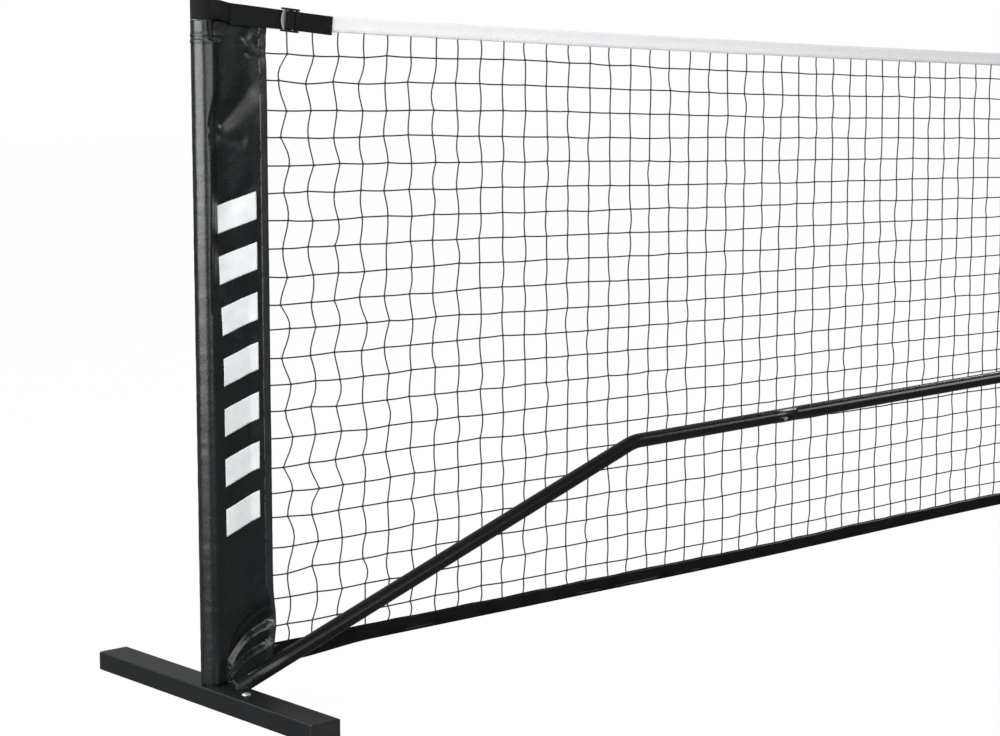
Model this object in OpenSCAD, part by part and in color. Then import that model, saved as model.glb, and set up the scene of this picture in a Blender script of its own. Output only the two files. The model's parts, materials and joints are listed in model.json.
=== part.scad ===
// Portable pickleball net: three steel feet, a frame of push-together tubes in front of the net,
// two end posts in vinyl sleeves, and a net with a top tape and a bottom hem.
// Origin: middle of the net on the floor. +X runs along the net, +Z is up, the tubes are on -Y.

/* [Court] */
// Distance between the axes of the two end posts
post_span = 6706; // [6400:1:6800]
// Height of the tape's top edge at the end posts
tape_end_h = 914; // [900:1:930]
// Height of the tape's top edge at the middle of the net
tape_mid_h = 864; // [850:1:880]

/* [Feet] */
// Length of a foot, across the net
foot_len = 492; // [460:1:560]
// Width of a foot, along the net
foot_w = 46; // [44:1:52]
// Height of a foot
foot_h = 26; // [25:1:32]
// Wall thickness of the foot tube
foot_wall = 1.6; // [1.4:0.1:2]
// Distance from the net's plane to the joint between a foot's two halves
foot_split = 52; // [51:1:60]
// Distance from the net's plane to the foot's snap button
foot_button_y = 76; // [72:1:82]

/* [Posts] */
// Outer diameter of an end post
post_d = 25.4; // [25:0.1:26]
// Wall thickness of a post
post_wall = 1.4; // [1.2:0.1:1.6]
// Height of the open top of an end post
post_top = 927; // [925:1:935]
// Length of the spigot that a post drops over
spigot_len = 100; // [80:1:110]
// Outer diameter of the middle post
mid_post_d = 22; // [21.6:0.1:22]
// Height of the open top of the middle post
mid_post_top = 868; // [866:1:880]

/* [Frame tubes] */
// Outer diameter of a frame tube
tube_d = 22; // [21.6:0.1:22.4]
// Wall thickness of a frame tube
tube_wall = 1.2; // [1:0.1:1.3]
// Distance of the tubes' plane in front of the net's plane
tube_offset = 38; // [36:1:38]
// Distance from the post's axis to the corner of the bent tube
bend_x = 752; // [700:1:800]
// Height of the corner of the bent tube
bend_z = 277; // [270:1:290]
// Slope of the tube between the foot and the bend, in degrees
leg_slope = 18.8; // [18.5:0.1:19]
// Slope of the tubes between the bend and the middle, in degrees
run_slope = 1.2; // [0.8:0.1:1.4]
// Length of the necked end that goes into the next tube
neck_len = 60; // [50:1:70]

/* [Net] */
// Width of the vinyl sleeve's flat panel, from the post's axis to its edge
panel_reach = 99; // [95:1:105]
// Height of the white top tape
tape_h = 22; // [20:1:26]
// Thickness of the white top tape where it folds over the cable
tape_t = 4.6; // [4.5:0.1:4.7]
// Height of the black bottom hem
hem_h = 22; // [20:1:26]
// Height of the hem's lower edge above the floor, by the end posts
hem_z = 42; // [40:1:50]
// How much higher the hem is towards the middle of the net
hem_rise = 8; // [0:1:12]
// Thickness of the knotted net
net_t = 2.4; // [2:0.1:3]

/* [Straps] */
// Width of the webbing
web_w = 25; // [24:0.5:25.5]
// Thickness of the webbing
web_t = 1.6; // [1.4:0.1:1.7]
// Height of the middle of the webbing loop on an end post
strap_z = 911.5; // [911:0.5:913]
// Fall of the webbing towards the tape, in degrees
strap_fall = 4.8; // [4.6:0.1:5]
// How far the buckle's hinge bar is from the post's axis, along the webbing
buckle_u = 145.5; // [145:0.5:150]

/* [Hidden] */
$fn = 64;
fit_gap = 0.3;          // radial room between a post and its spigot
slip_gap = 0.2;         // radial room between a neck and the tube around it
eps = 0.01;
half_span = post_span / 2;

// posts
post_bore = post_d - 2 * post_wall;
spigot_d = post_bore - 2 * fit_gap;
spigot_bore = spigot_d - 3;
cap_plug = 12;
cap_plug_gap = 0.1;
cap_head = 3;

// feet
stub_len = 53;                                   // how far the stub reaches into the front half
stub_root = 32;                                  // how much of it is held in the rear half
stub_wall = 1.5;
stub_gap = 0.2;
foot_corner_r = 2.5;
end_cap_t = 2.5;
end_plug_len = 12;
foot_button_d = 12;
button_gap = 0.15;                               // radial room around a snap button
foot_button_rise = 2.4;                          // how far the foot's button stands proud
foot_flange_d = 16;
foot_flange_t = 2;
foot_button_top = foot_h + foot_button_rise;
stub_ceiling = foot_h - foot_wall - stub_gap - stub_wall;
stub_floor = foot_wall + stub_gap + stub_wall;

// frame tubes
tube_bore = tube_d - 2 * tube_wall;
neck_d = tube_bore - 2 * slip_gap;
neck_bore = neck_d - 2.6;
shoulder_x = 30;                                 // where the bent tube starts, from the post's axis
leg_start = -(bend_x - shoulder_x) / cos(leg_slope);
leg_neck_len = 75;
weld_len = 26;                                   // how far the welded socket runs into the foot
button_inset = 30;                               // from a tube's end to its snap button
run_len = (half_span - bend_x) / cos(run_slope); // from the bend's corner to the middle
joint_a = 370;                                   // first tube joint, from the bend's corner
joint_b = 1490;                                  // second tube joint
joint_c = run_len - 30;                          // where the last tube meets the middle tee
tee_neck_len = 75;

// snap buttons of the tubes
tube_button_d = 7.6;
tube_button_rise = 2.2;
tube_button_dip = 25;                            // degrees below the horizontal
tube_flange_d = 9.6;
tube_flange_t = 1.4;
tube_flange_r = 6.3;                             // outer face of the flange, from the tube's axis
clip_t = 0.6;

// middle post and tee
tee_top = 400;
mid_post_foot = 300;
mid_post_bore = mid_post_d - 2 * post_wall;
collar_d = 31;
collar_h = 12;
collar_gap = 0.05;

// sleeve
sleeve_bore_d = post_d + 2 * fit_gap;
sleeve_t = 1.2;
sleeve_d = sleeve_bore_d + 2 * sleeve_t;
sleeve_foot = 30;
sleeve_top = 897;
panel_t = 2;
panel_low_in = 40;                               // the panel's lower corner at the post
panel_low_out = 61;                              // the panel's lower corner at the net

// net
soft_gap = 0.3;
net_half = half_span - panel_reach - soft_gap;
net_steps = 24;                                  // straight pieces in the tape's and hem's curves
tape_sewn_t = 2.4;                               // the tape's two layers below the cable
tape_fold_h = 7;                                 // how much of the tape is folded over the cable
cable_d = 3.2;
cable_drop = 3;                                  // from the tape's top edge to the cable's axis
channel_size = 3.7;
hem_t = 4.4;
hem_cord_d = 2.8;
hem_cord_up = 4;                                 // from the hem's lower edge to the cord's axis
hem_channel = 3.2;
hem_rise_from = 900;                             // from a post, where the hem starts to rise
hem_rise_len = 900;

// webbing and buckle
strap_loop_r = post_d / 2 + fit_gap;
strap_start = 38;                                // where the loop's two sides have met
loop_ease = 0.4;                                 // how far a loop's straight sides stand off it
load_y = -3;                                     // inner face of the layer that carries the load
tail_y = -5.2;                                   // inner face of the free tail
wrap_y = -9.4;                                   // inner face of the turn over the ladder bar
wrap_in = 128.6;
wrap_out = 138.2;
tail_start = 40;
hinge_y = -6.2;
hinge_d = 4;
hinge_gap = 0.3;
anchor_y = -2.5;
anchor_t = 3.2;
anchor_end = 201;
buckle_z = 13;                                   // inner face of a buckle's side rail
buckle_rail_t = 2.5;
buckle_left = 116;
buckle_lip = 11;
buckle_rail_y = [-4.9, -9.5];
ladder_bar = [131, 137];
ladder_bar_y = [-5.3, -8.9];
lip_y = [-7.6, -10.2];
rib_n = 4;

// middle strap
mid_strap_reach = 40;
mid_strap_low = 839;
mid_strap_r = mid_post_d / 2 + fit_gap;

// ---- placing ----

// The two ends of the net are mirror images. Each is drawn with the post's axis at the origin and
// +X towards the middle of the net.
module end_of_net(side) {
    if (side == "left") translate([-half_span, 0, 0]) children();
    else translate([half_span, 0, 0]) mirror([1, 0, 0]) children();
}

// +X runs up the leg towards the bend's corner, which is the origin.
module on_leg() {
    translate([bend_x, -tube_offset, bend_z]) rotate([0, -leg_slope, 0]) children();
}

// +X runs from the bend's corner towards the middle.
module on_run() {
    translate([bend_x, -tube_offset, bend_z]) rotate([0, -run_slope, 0]) children();
}

// +X runs along the webbing towards the tape, from the post's axis.
module on_strap() {
    translate([0, 0, strap_z]) rotate([0, strap_fall, 0]) children();
}

// ---- shapes ----

module rod(d, from, to) {
    translate([from, 0, 0]) rotate([0, 90, 0]) cylinder(d = d, h = to - from);
}

module upright(d, from, to) {
    translate([0, 0, from]) cylinder(d = d, h = to - from);
}

// A box given by its two ends along each axis
module slab(x, y, z) {
    translate([min(x), min(y), min(z)])
        cube([abs(x[1] - x[0]), abs(y[1] - y[0]), abs(z[1] - z[0])]);
}

module rounded_rect(w, h, r) {
    square([w - 2 * r, h], center = true);
    square([w, h - 2 * r], center = true);
    for (sx = [-1, 1], sy = [-1, 1])
        translate([sx * (w / 2 - r), sy * (h / 2 - r)]) circle(r = r);
}

// A bar of the foot's section, smaller all round by inset, lying along Y
module foot_bar(inset, from, to) {
    translate([0, from, foot_h / 2]) rotate([-90, 0, 0])
        linear_extrude(to - from)
            rounded_rect(foot_w - 2 * inset, foot_h - 2 * inset, max(foot_corner_r - inset, 0.6));
}

module foot_button_hole() {
    translate([0, -foot_button_y, foot_h / 2])
        cylinder(d = foot_button_d + 2 * button_gap, h = foot_h);
}

// The rear half of a foot, with the stub that the front half slides over
module foot_rear() {
    end_y = foot_len / 2 - end_cap_t;
    difference() {
        foot_bar(0, -foot_split, end_y);
        foot_bar(foot_wall, -foot_split - eps, end_y + eps);
    }
    difference() {
        union() {
            foot_bar(foot_wall - eps, -foot_split, -foot_split + stub_root);
            foot_bar(foot_wall + stub_gap, -foot_split - stub_len, -foot_split + eps);
        }
        foot_bar(foot_wall + stub_gap + stub_wall, -foot_split - stub_len - eps,
            -foot_split + stub_root + eps);
        foot_button_hole();
    }
}

module foot_front() {
    end_y = -foot_len / 2 + end_cap_t;
    difference() {
        foot_bar(0, end_y, -foot_split);
        foot_bar(foot_wall, end_y - eps, -foot_split + eps);
        foot_button_hole();
    }
}

module foot_end_cap() {
    foot_bar(0, foot_len / 2 - end_cap_t, foot_len / 2);
    foot_bar(foot_wall + cap_plug_gap, foot_len / 2 - end_cap_t - end_plug_len,
        foot_len / 2 - end_cap_t + eps);
}

module foot_end_caps() {
    foot_end_cap();
    mirror([0, 1, 0]) foot_end_cap();
}

// A snap button: a shaft with a domed head and a flange that stays inside the tube
module snap_button(d, flange_d, flange_t, flange_top, top) {
    dome_r = d * 0.9;
    translate([0, 0, flange_top - flange_t]) cylinder(d = flange_d, h = flange_t);
    intersection() {
        translate([0, 0, flange_top - eps]) cylinder(d = d, h = top - flange_top + eps);
        translate([0, 0, top - dome_r]) sphere(r = dome_r);
    }
}

module foot_button() {
    translate([0, -foot_button_y, 0])
        snap_button(foot_button_d, foot_flange_d, foot_flange_t, stub_ceiling - button_gap,
            foot_button_top);
}

// A leaf spring folded to a V: a flat leg below, a fold of radius fold_r and a leg that rises to the
// height top. The fold is at x = 0 and the legs run along +X.
module v_clip(width, len, top, fold_r) {
    fold_steps = 8;
    rise = atan((top - 2 * fold_r) / len);
    function fold(r) = [for (i = [0 : fold_steps])
        let (a = 90 + rise + i * (180 - rise) / fold_steps) [r * cos(a), fold_r + r * sin(a)]];
    outer = concat([[len, top]], fold(fold_r), [[len, 0]]);
    inner = concat([[len, top - clip_t / cos(rise)]], fold(fold_r - clip_t), [[len, clip_t]]);
    rotate([90, 0, 0]) translate([0, 0, -width / 2]) linear_extrude(width)
        polygon(concat(outer, [for (i = [len(inner) - 1 : -1 : 0]) inner[i]]));
}

module foot_clip() {
    clip_len = 26;
    clip_fold_r = 5;
    clip_w = 12;
    flange_low = stub_ceiling - button_gap - foot_flange_t;
    translate([0, -foot_button_y + clip_len * 0.7, stub_floor]) rotate([0, 0, -90])
        v_clip(clip_w, clip_len, flange_low - stub_floor, clip_fold_r);
}

// Places a snap button or its clip at distance along the run, with +Z pointing out of the tube
module at_tube_button(along) {
    on_run() translate([along, 0, 0]) rotate([90 + tube_button_dip, 0, 0]) children();
}

module tube_button_hole(along) {
    at_tube_button(along) cylinder(d = tube_button_d + 2 * button_gap, h = tube_d);
}

module tube_button(along) {
    at_tube_button(along)
        snap_button(tube_button_d, tube_flange_d, tube_flange_t, tube_flange_r,
            tube_d / 2 + tube_button_rise);
}

module tube_clip(along) {
    clip_len = 20;
    clip_fold_r = 3;
    clip_w = 6;
    clip_low = 0.1 - sqrt(pow(neck_bore / 2, 2) - pow(clip_w / 2, 2));
    at_tube_button(along) translate([-clip_len * 0.7, 0, clip_low])
        v_clip(clip_w, clip_len, tube_flange_r - tube_flange_t - clip_low, clip_fold_r);
}

// ---- base, feet ----

// The welded socket and neck that carry the bent tube
module leg_socket() {
    difference() {
        union() {
            on_leg() rod(tube_d, leg_start - weld_len, leg_start);
            on_leg() rod(neck_d, leg_start - eps, leg_start + leg_neck_len);
        }
        on_leg() rod(neck_bore, leg_start, leg_start + leg_neck_len + eps);
    }
}

module spigot(y, d) {
    translate([0, y, 0]) difference() {
        upright(d, foot_h - foot_wall, foot_h + spigot_len);
        upright(spigot_bore, foot_h - eps, foot_h + spigot_len + eps);
    }
}

module base_end(side) {
    color("#1c1d1f") end_of_net(side) {
        foot_rear();
        spigot(0, spigot_d);
        leg_socket();
    }
}

module base_middle() {
    color("#1c1d1f") {
        foot_rear();
        spigot(-tube_offset, spigot_d);
    }
}

module foot_front_end(side) {
    color("#1c1d1f") end_of_net(side) foot_front();
}

module foot_end_caps_end(side) {
    color("#17181a") end_of_net(side) foot_end_caps();
}

module foot_button_end(side) {
    color("#b9bec2") end_of_net(side) foot_button();
}

// ---- frame tubes ----

// The bent tube's path as a solid rod, with a ball at the bend's corner
module bent_rod(d, start, end) {
    on_leg() rod(d, start, 0);
    on_run() rod(d, 0, end);
    translate([bend_x, -tube_offset, bend_z]) sphere(d = d);
}

module tube_bent(side) {
    color("#1c1d1f") end_of_net(side) difference() {
        bent_rod(tube_d, leg_start, joint_a);
        bent_rod(tube_bore, leg_start - eps, joint_a + eps);
        tube_button_hole(joint_a - button_inset);
    }
}

// A straight tube whose outer end is necked to go into the tube before it
module straight_tube(from, to, has_inner_hole) {
    difference() {
        on_run() {
            rod(tube_d, from, to);
            rod(neck_d, from - neck_len, from + eps);
        }
        on_run() rod(neck_bore, from - neck_len - eps, from + 3);
        on_run() rod(tube_bore, from + 3 - eps, to + eps);
        tube_button_hole(from - button_inset);
        if (has_inner_hole) tube_button_hole(to - button_inset);
    }
}

module tube_long(side) {
    color("#1c1d1f") end_of_net(side) straight_tube(joint_a, joint_b, true);
}

module tube_inner(side) {
    color("#1c1d1f") end_of_net(side) straight_tube(joint_b, joint_c, true);
}

module tube_button_at(side, along) {
    color("#b9bec2") end_of_net(side) tube_button(along - button_inset);
}

module spring_clips(side) {
    color("#8d9296") end_of_net(side) {
        foot_clip();
        tube_clip(joint_a - button_inset);
        tube_clip(joint_b - button_inset);
        tube_clip(joint_c - button_inset);
    }
}

// The last tube slides over the tee's neck, so this button sits in the neck.
module tee_neck() {
    difference() {
        on_run() {
            rod(tube_d, joint_c, run_len);
            rod(neck_d, joint_c - tee_neck_len, joint_c + eps);
        }
        on_run() rod(neck_bore, joint_c - tee_neck_len - eps, joint_c);
        tube_button_hole(joint_c - button_inset);
    }
}

module tee_middle() {
    color("#1c1d1f") difference() {
        union() {
            end_of_net("left") tee_neck();
            end_of_net("right") tee_neck();
            translate([0, -tube_offset, 0]) upright(post_d, foot_h, tee_top);
        }
        translate([0, -tube_offset, 0]) upright(post_bore, foot_h - eps, tee_top + eps);
    }
}

// ---- posts ----

module post_tube(d, bore, from, to) {
    difference() {
        upright(d, from, to);
        upright(bore, from - eps, to + eps);
    }
}

module cap_shape(d, bore) {
    bevel = 1.2;
    plug_r = bore / 2 - cap_plug_gap;
    rotate_extrude() polygon([
        [0, -cap_plug], [plug_r - bevel, -cap_plug], [plug_r, -cap_plug + bevel], [plug_r, 0],
        [d / 2, 0], [d / 2, cap_head - bevel], [d / 2 - bevel, cap_head], [0, cap_head]
    ]);
}

module post_end(side) {
    color("#202224") end_of_net(side) post_tube(post_d, post_bore, foot_h, post_top);
}

module post_cap_end(side) {
    color("#17181a") end_of_net(side) translate([0, 0, post_top]) cap_shape(post_d, post_bore);
}

module post_middle() {
    color("#202224") translate([0, -tube_offset, 0])
        post_tube(mid_post_d, mid_post_bore, mid_post_foot, mid_post_top);
}

module post_collar_middle() {
    color("#17181a") translate([0, -tube_offset, 0])
        post_tube(collar_d, mid_post_d + 2 * collar_gap, tee_top, tee_top + collar_h);
}

module post_cap_middle() {
    color("#17181a") translate([0, -tube_offset, mid_post_top]) cap_shape(mid_post_d, mid_post_bore);
}

// ---- sleeve ----

module sleeve(side) {
    color("#15181a") end_of_net(side) difference() {
        union() {
            upright(sleeve_d, sleeve_foot, sleeve_top);
            rotate([90, 0, 0]) translate([0, 0, -panel_t / 2]) linear_extrude(panel_t) polygon([
                [0, panel_low_in], [panel_reach, panel_low_out], [panel_reach, sleeve_top],
                [0, sleeve_top]
            ]);
        }
        upright(sleeve_bore_d, sleeve_foot - eps, sleeve_top + eps);
    }
}

// ---- webbing and buckle ----

// One flat layer of webbing between two distances along the strap, its inner face at y
module web_layer(from, to, y) {
    slab([from, to], [y - web_t, y], [-web_w / 2, web_w / 2]);
}

// A short turn of webbing across the strap, between two depths
module web_turn(at, y_in, y_out) {
    slab([at, at + web_t], [y_out - web_t, y_in], [-web_w / 2, web_w / 2]);
}

// The outline of webbing that runs straight from start to finish, seen along its width
module band(start, finish) {
    run = finish - start;
    translate(start) rotate(atan2(run[1], run[0])) translate([0, -web_t / 2])
        square([norm(run), web_t]);
}

// Where a straight band towards target leaves a circle, on the side that turn gives
function leaving(centre, r, target, turn) =
    let (d = target - centre, a = atan2(d[1], d[0]) + turn * acos(r / norm(d)))
    centre + r * [cos(a), sin(a)];

// The outline of a loop round a post whose two sides meet at target
module post_loop_outline(target) {
    band_r = strap_loop_r + web_t / 2 + loop_ease;
    difference() {
        union() {
            circle(r = strap_loop_r + web_t);
            for (turn = [-1, 1]) band(leaving([0, 0], band_r, target, turn), target);
        }
        circle(r = strap_loop_r);
    }
}

module post_strap(side) {
    meet = [strap_start + web_t, load_y - web_t / 2];
    color("#121315") end_of_net(side) {
        translate([0, 0, strap_z - web_w / 2]) linear_extrude(web_w) post_loop_outline(meet);
        on_strap() {
            web_layer(strap_start, wrap_out + web_t, load_y);
            web_turn(wrap_out, load_y, wrap_y);
            web_layer(wrap_in, wrap_out + web_t, wrap_y);
            web_turn(wrap_in, tail_y, wrap_y);
            web_layer(tail_start, wrap_in + web_t, tail_y);
        }
    }
}

module hinge_bar(d) {
    translate([buckle_u, hinge_y, 0]) cylinder(d = d, h = 2 * buckle_z + 2 * eps, center = true);
}

module ladder_lock(side) {
    rail_end = buckle_u + 3;
    inner = [-buckle_z - eps, buckle_z + eps];
    color("#232527") end_of_net(side) on_strap() {
        for (s = [-1, 1])
            slab([buckle_left + 4, rail_end], buckle_rail_y,
                [s * buckle_z, s * (buckle_z + buckle_rail_t)]);
        hinge_bar(hinge_d);
        slab(ladder_bar, ladder_bar_y, inner);
        // thumb lip, with grip ribs on its front
        slab([buckle_left, buckle_left + buckle_lip], lip_y,
            [-buckle_z - buckle_rail_t, buckle_z + buckle_rail_t]);
        for (i = [0 : rib_n - 1])
            slab([buckle_left + 1 + 2.4 * i, buckle_left + 2.2 + 2.4 * i],
                [lip_y[1] - 0.8, lip_y[1] + eps], [-buckle_z, buckle_z]);
    }
}

module strap_anchor(side) {
    loop_r = hinge_d / 2 + hinge_gap;
    color("#121315") end_of_net(side) on_strap() difference() {
        union() {
            translate([buckle_u, hinge_y, -web_w / 2]) cylinder(r = loop_r + web_t, h = web_w);
            slab([buckle_u, anchor_end], [anchor_y - anchor_t, anchor_y], [-web_w / 2, web_w / 2]);
        }
        translate([buckle_u, hinge_y, 0]) cylinder(r = loop_r, h = 2 * web_w, center = true);
    }
}

// A band from the tape's face round the middle post and back
module strap_middle() {
    centre = [0, -tube_offset];
    band_r = mid_strap_r + web_t / 2 + loop_ease;
    flap_y = -tape_t / 2 - soft_gap - web_t / 2;
    color("#121315") translate([0, 0, mid_strap_low]) linear_extrude(web_w) {
        difference() {
            union() {
                translate(centre) circle(r = mid_strap_r + web_t);
                for (s = [-1, 1]) {
                    target = [s * mid_strap_reach, flap_y];
                    band(leaving(centre, band_r, target, -s), target);
                }
            }
            translate(centre) circle(r = mid_strap_r);
            // the side towards the net stays open
            translate(centre + [0, web_w / 2]) square([2 * mid_strap_r, web_w], center = true);
        }
        // the flaps sewn to the tape
        for (s = [-1, 1])
            translate([s * (mid_strap_reach + web_w / 2 - 1), flap_y])
                square([web_w, web_t], center = true);
    }
}

// ---- net ----

// Height of the tape's top edge at distance x from the middle
function tape_z(x) = tape_mid_h + (tape_end_h - tape_mid_h) * pow(x / half_span, 2);

// Height of the hem's lower edge at distance x from the middle
function hem_low(x) =
    let (s = max(0, min(1, (half_span - abs(x) - hem_rise_from) / hem_rise_len)))
    hem_z + hem_rise * s * s * (3 - 2 * s);

// Distances along the net at which its curved edges have a corner
function stations(reach) = [for (i = [-net_steps / 2 : net_steps / 2]) 2 * reach * i / net_steps];

// A flat strip along the net between two heights, given at each of the stations xs
module strip(xs, top, low, thick) {
    rotate([90, 0, 0]) translate([0, 0, -thick / 2]) linear_extrude(thick) polygon(concat(
        [for (i = [0 : len(xs) - 1]) [xs[i], top[i]]],
        [for (i = [len(xs) - 1 : -1 : 0]) [xs[i], low[i]]]
    ));
}

// A strip between two depths below the tape's top edge
module under_tape(top_drop, low_drop, thick, reach) {
    xs = stations(reach);
    strip(xs, [for (x = xs) tape_z(x) - top_drop], [for (x = xs) tape_z(x) - low_drop], thick);
}

// A strip between two heights over the hem's lower edge
module over_hem(top_up, low_up, thick, reach) {
    xs = stations(reach);
    strip(xs, [for (x = xs) hem_low(x) + top_up], [for (x = xs) hem_low(x) + low_up], thick);
}

// An eight-sided sweep of diameter d through points [x, z] in the net's plane
module swept_cord(d, line) {
    sides = 8;
    rings = len(line);
    points = [for (p = line, k = [0 : sides - 1])
        let (a = 360 * k / sides) [p[0], d / 2 * cos(a), p[1] + d / 2 * sin(a)]];
    sides_faces = [for (r = [0 : rings - 2], k = [0 : sides - 1])
        let (n = (k + 1) % sides)
        [r * sides + k, r * sides + n, (r + 1) * sides + n, (r + 1) * sides + k]];
    first = [for (k = [sides - 1 : -1 : 0]) k];
    last = [for (k = [0 : sides - 1]) (rings - 1) * sides + k];
    polyhedron(points, concat([first], sides_faces, [last]), convexity = 4);
}

module top_tape() {
    channel_top = cable_drop - channel_size / 2;
    color("#f1f2f4") difference() {
        union() {
            under_tape(0, tape_fold_h, tape_t, net_half);
            under_tape(tape_fold_h - eps, tape_h, tape_sewn_t, net_half);
        }
        under_tape(channel_top, channel_top + channel_size, channel_size, net_half + 1);
    }
}

module top_cable() {
    color("#5a5d60")
        swept_cord(cable_d, [for (x = stations(net_half)) [x, tape_z(x) - cable_drop]]);
}

module net_mesh() {
    xs = stations(net_half);
    color("#0e0f10")
        strip(xs, [for (x = xs) tape_z(x) - tape_h], [for (x = xs) hem_low(x) + hem_h], net_t);
}

module bottom_hem() {
    channel_low = hem_cord_up - hem_channel / 2;
    color("#15181a") difference() {
        over_hem(hem_h, 0, hem_t, net_half);
        over_hem(channel_low + hem_channel, channel_low, hem_channel, net_half + 1);
    }
}

module bottom_cord() {
    color("#2b2c2e")
        swept_cord(hem_cord_d, [for (x = stations(net_half)) [x, hem_low(x) + hem_cord_up]]);
}

// ---- output ----
base_end("left");  // base_left
foot_front_end("left");  // foot_front_left
foot_end_caps_end("left");  // foot_end_caps_left
foot_button_end("left");  // foot_button_left
tube_bent("left");  // tube_bent_left
tube_long("left");  // tube_long_left
tube_inner("left");  // tube_inner_left
tube_button_at("left", joint_a);  // tube_button_outer_left
tube_button_at("left", joint_b);  // tube_button_mid_left
tube_button_at("left", joint_c);  // tube_button_inner_left
spring_clips("left");  // spring_clips_left
post_end("left");  // post_left
post_cap_end("left");  // post_cap_left
sleeve("left");  // sleeve_left
post_strap("left");  // post_strap_left
ladder_lock("left");  // ladder_lock_left
strap_anchor("left");  // strap_anchor_left
base_end("right");  // base_right
foot_front_end("right");  // foot_front_right
foot_end_caps_end("right");  // foot_end_caps_right
foot_button_end("right");  // foot_button_right
tube_bent("right");  // tube_bent_right
tube_long("right");  // tube_long_right
tube_inner("right");  // tube_inner_right
tube_button_at("right", joint_a);  // tube_button_outer_right
tube_button_at("right", joint_b);  // tube_button_mid_right
tube_button_at("right", joint_c);  // tube_button_inner_right
spring_clips("right");  // spring_clips_right
post_end("right");  // post_right
post_cap_end("right");  // post_cap_right
sleeve("right");  // sleeve_right
post_strap("right");  // post_strap_right
ladder_lock("right");  // ladder_lock_right
strap_anchor("right");  // strap_anchor_right
base_middle();
color("#1c1d1f") foot_front();  // foot_front_middle
color("#17181a") foot_end_caps();  // foot_end_caps_middle
color("#b9bec2") foot_button();  // foot_button_middle
color("#8d9296") foot_clip();  // spring_clip_middle
tee_middle();
post_middle();
post_collar_middle();
post_cap_middle();
strap_middle();
net_mesh();
top_tape();
top_cable();
bottom_hem();
bottom_cord();
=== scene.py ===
"""Looks of the portable pickleball net: cloth, cords, webbing, coatings, light and camera, built
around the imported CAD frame. Metres throughout. X runs along the net, Z is up and the frame tubes
are on the -Y side. Each end of the net is drawn once in its own frame, with the post's axis at
the origin and +X towards the middle of the net, and mirrored for the right end."""

import json
import math

import bmesh
import bpy
import numpy as np
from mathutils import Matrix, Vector

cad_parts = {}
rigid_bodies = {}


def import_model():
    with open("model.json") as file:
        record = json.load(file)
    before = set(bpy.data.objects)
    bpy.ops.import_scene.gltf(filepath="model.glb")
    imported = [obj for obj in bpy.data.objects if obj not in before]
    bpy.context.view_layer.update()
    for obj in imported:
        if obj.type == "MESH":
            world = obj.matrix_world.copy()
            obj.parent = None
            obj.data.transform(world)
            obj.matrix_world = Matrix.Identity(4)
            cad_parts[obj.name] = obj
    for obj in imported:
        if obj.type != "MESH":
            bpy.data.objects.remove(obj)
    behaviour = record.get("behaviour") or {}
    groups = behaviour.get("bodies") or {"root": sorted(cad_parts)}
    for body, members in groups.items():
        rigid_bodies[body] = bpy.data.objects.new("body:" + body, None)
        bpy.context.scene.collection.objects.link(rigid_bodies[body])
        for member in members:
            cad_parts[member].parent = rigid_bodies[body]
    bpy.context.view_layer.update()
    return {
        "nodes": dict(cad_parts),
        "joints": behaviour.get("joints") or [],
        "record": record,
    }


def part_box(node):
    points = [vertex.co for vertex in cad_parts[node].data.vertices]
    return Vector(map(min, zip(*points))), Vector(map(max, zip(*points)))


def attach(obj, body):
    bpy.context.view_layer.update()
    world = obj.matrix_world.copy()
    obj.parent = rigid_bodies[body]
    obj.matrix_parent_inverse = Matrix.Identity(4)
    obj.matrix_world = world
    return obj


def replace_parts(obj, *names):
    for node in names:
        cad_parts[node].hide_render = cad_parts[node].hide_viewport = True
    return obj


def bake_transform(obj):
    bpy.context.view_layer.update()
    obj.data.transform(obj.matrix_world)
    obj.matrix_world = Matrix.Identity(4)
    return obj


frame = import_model()

MM = 0.001
SIDES = ("left", "right")
NET_BODY = "net_and_posts"
FRAME_BODY = "frame"


# ---- sizes read from the frame ----

def middle_of(node):
    low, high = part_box(node)
    return (low + high) / 2


def joint_named(name):
    return next(j for j in frame["joints"] if j["name"] == name)


HALF_SPAN = -middle_of("post_left").x
POST_R = (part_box("post_left")[1].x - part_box("post_left")[0].x) / 2
NET_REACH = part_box("net_mesh")[1].x
TAPE_LOW, TAPE_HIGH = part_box("top_tape")
HEM_LOW, HEM_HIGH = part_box("bottom_hem")
SLEEVE_LOW, SLEEVE_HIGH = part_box("sleeve_left")
SLEEVE_R = -HALF_SPAN - SLEEVE_LOW.x + 1.8 * MM    # the cloth is a little loose on the post
SLEEVE_TOP = SLEEVE_HIGH.z + 1.5 * MM
PANEL_REACH = SLEEVE_HIGH.x + HALF_SPAN
TUBE_Y = middle_of("tube_long_left").y

# ---- sizes of the soft goods ----

TAPE_H = 22 * MM
HEM_H = 22 * MM
HEM_RISE_FROM = 0.9          # from a post, where the hem starts to rise
HEM_RISE_LEN = 0.9
HEM_RISE = HEM_HIGH.z - HEM_LOW.z - HEM_H
PANEL_LOW_IN = 27.5 * MM     # the panel's lower corner at the post
PANEL_LOW_OUT = 41 * MM      # the panel's lower corner at the net

FIRST_COLUMN = 84.5 * MM     # the net's outermost column, inside the sleeve, from the post's axis
CELLS = 151
PITCH = 2 * (HALF_SPAN - FIRST_COLUMN) / CELLS
ROWS = 22
FIRST_ROW_DROP = 25 * MM     # from the tape's lower edge to the first row of knots
FIRST_ROW_DIP = 7.7 * MM     # how much lower the first row is at the sleeves
LAST_ROW_UP = 22 * MM        # from the hem's upper edge to the last row
CORD_R = 1.1 * MM

WEB_W = 25 * MM
WEB_T = 1.6 * MM

# ---- sizes of the bent tube and its snap buttons, as in the CAD design ----

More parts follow.
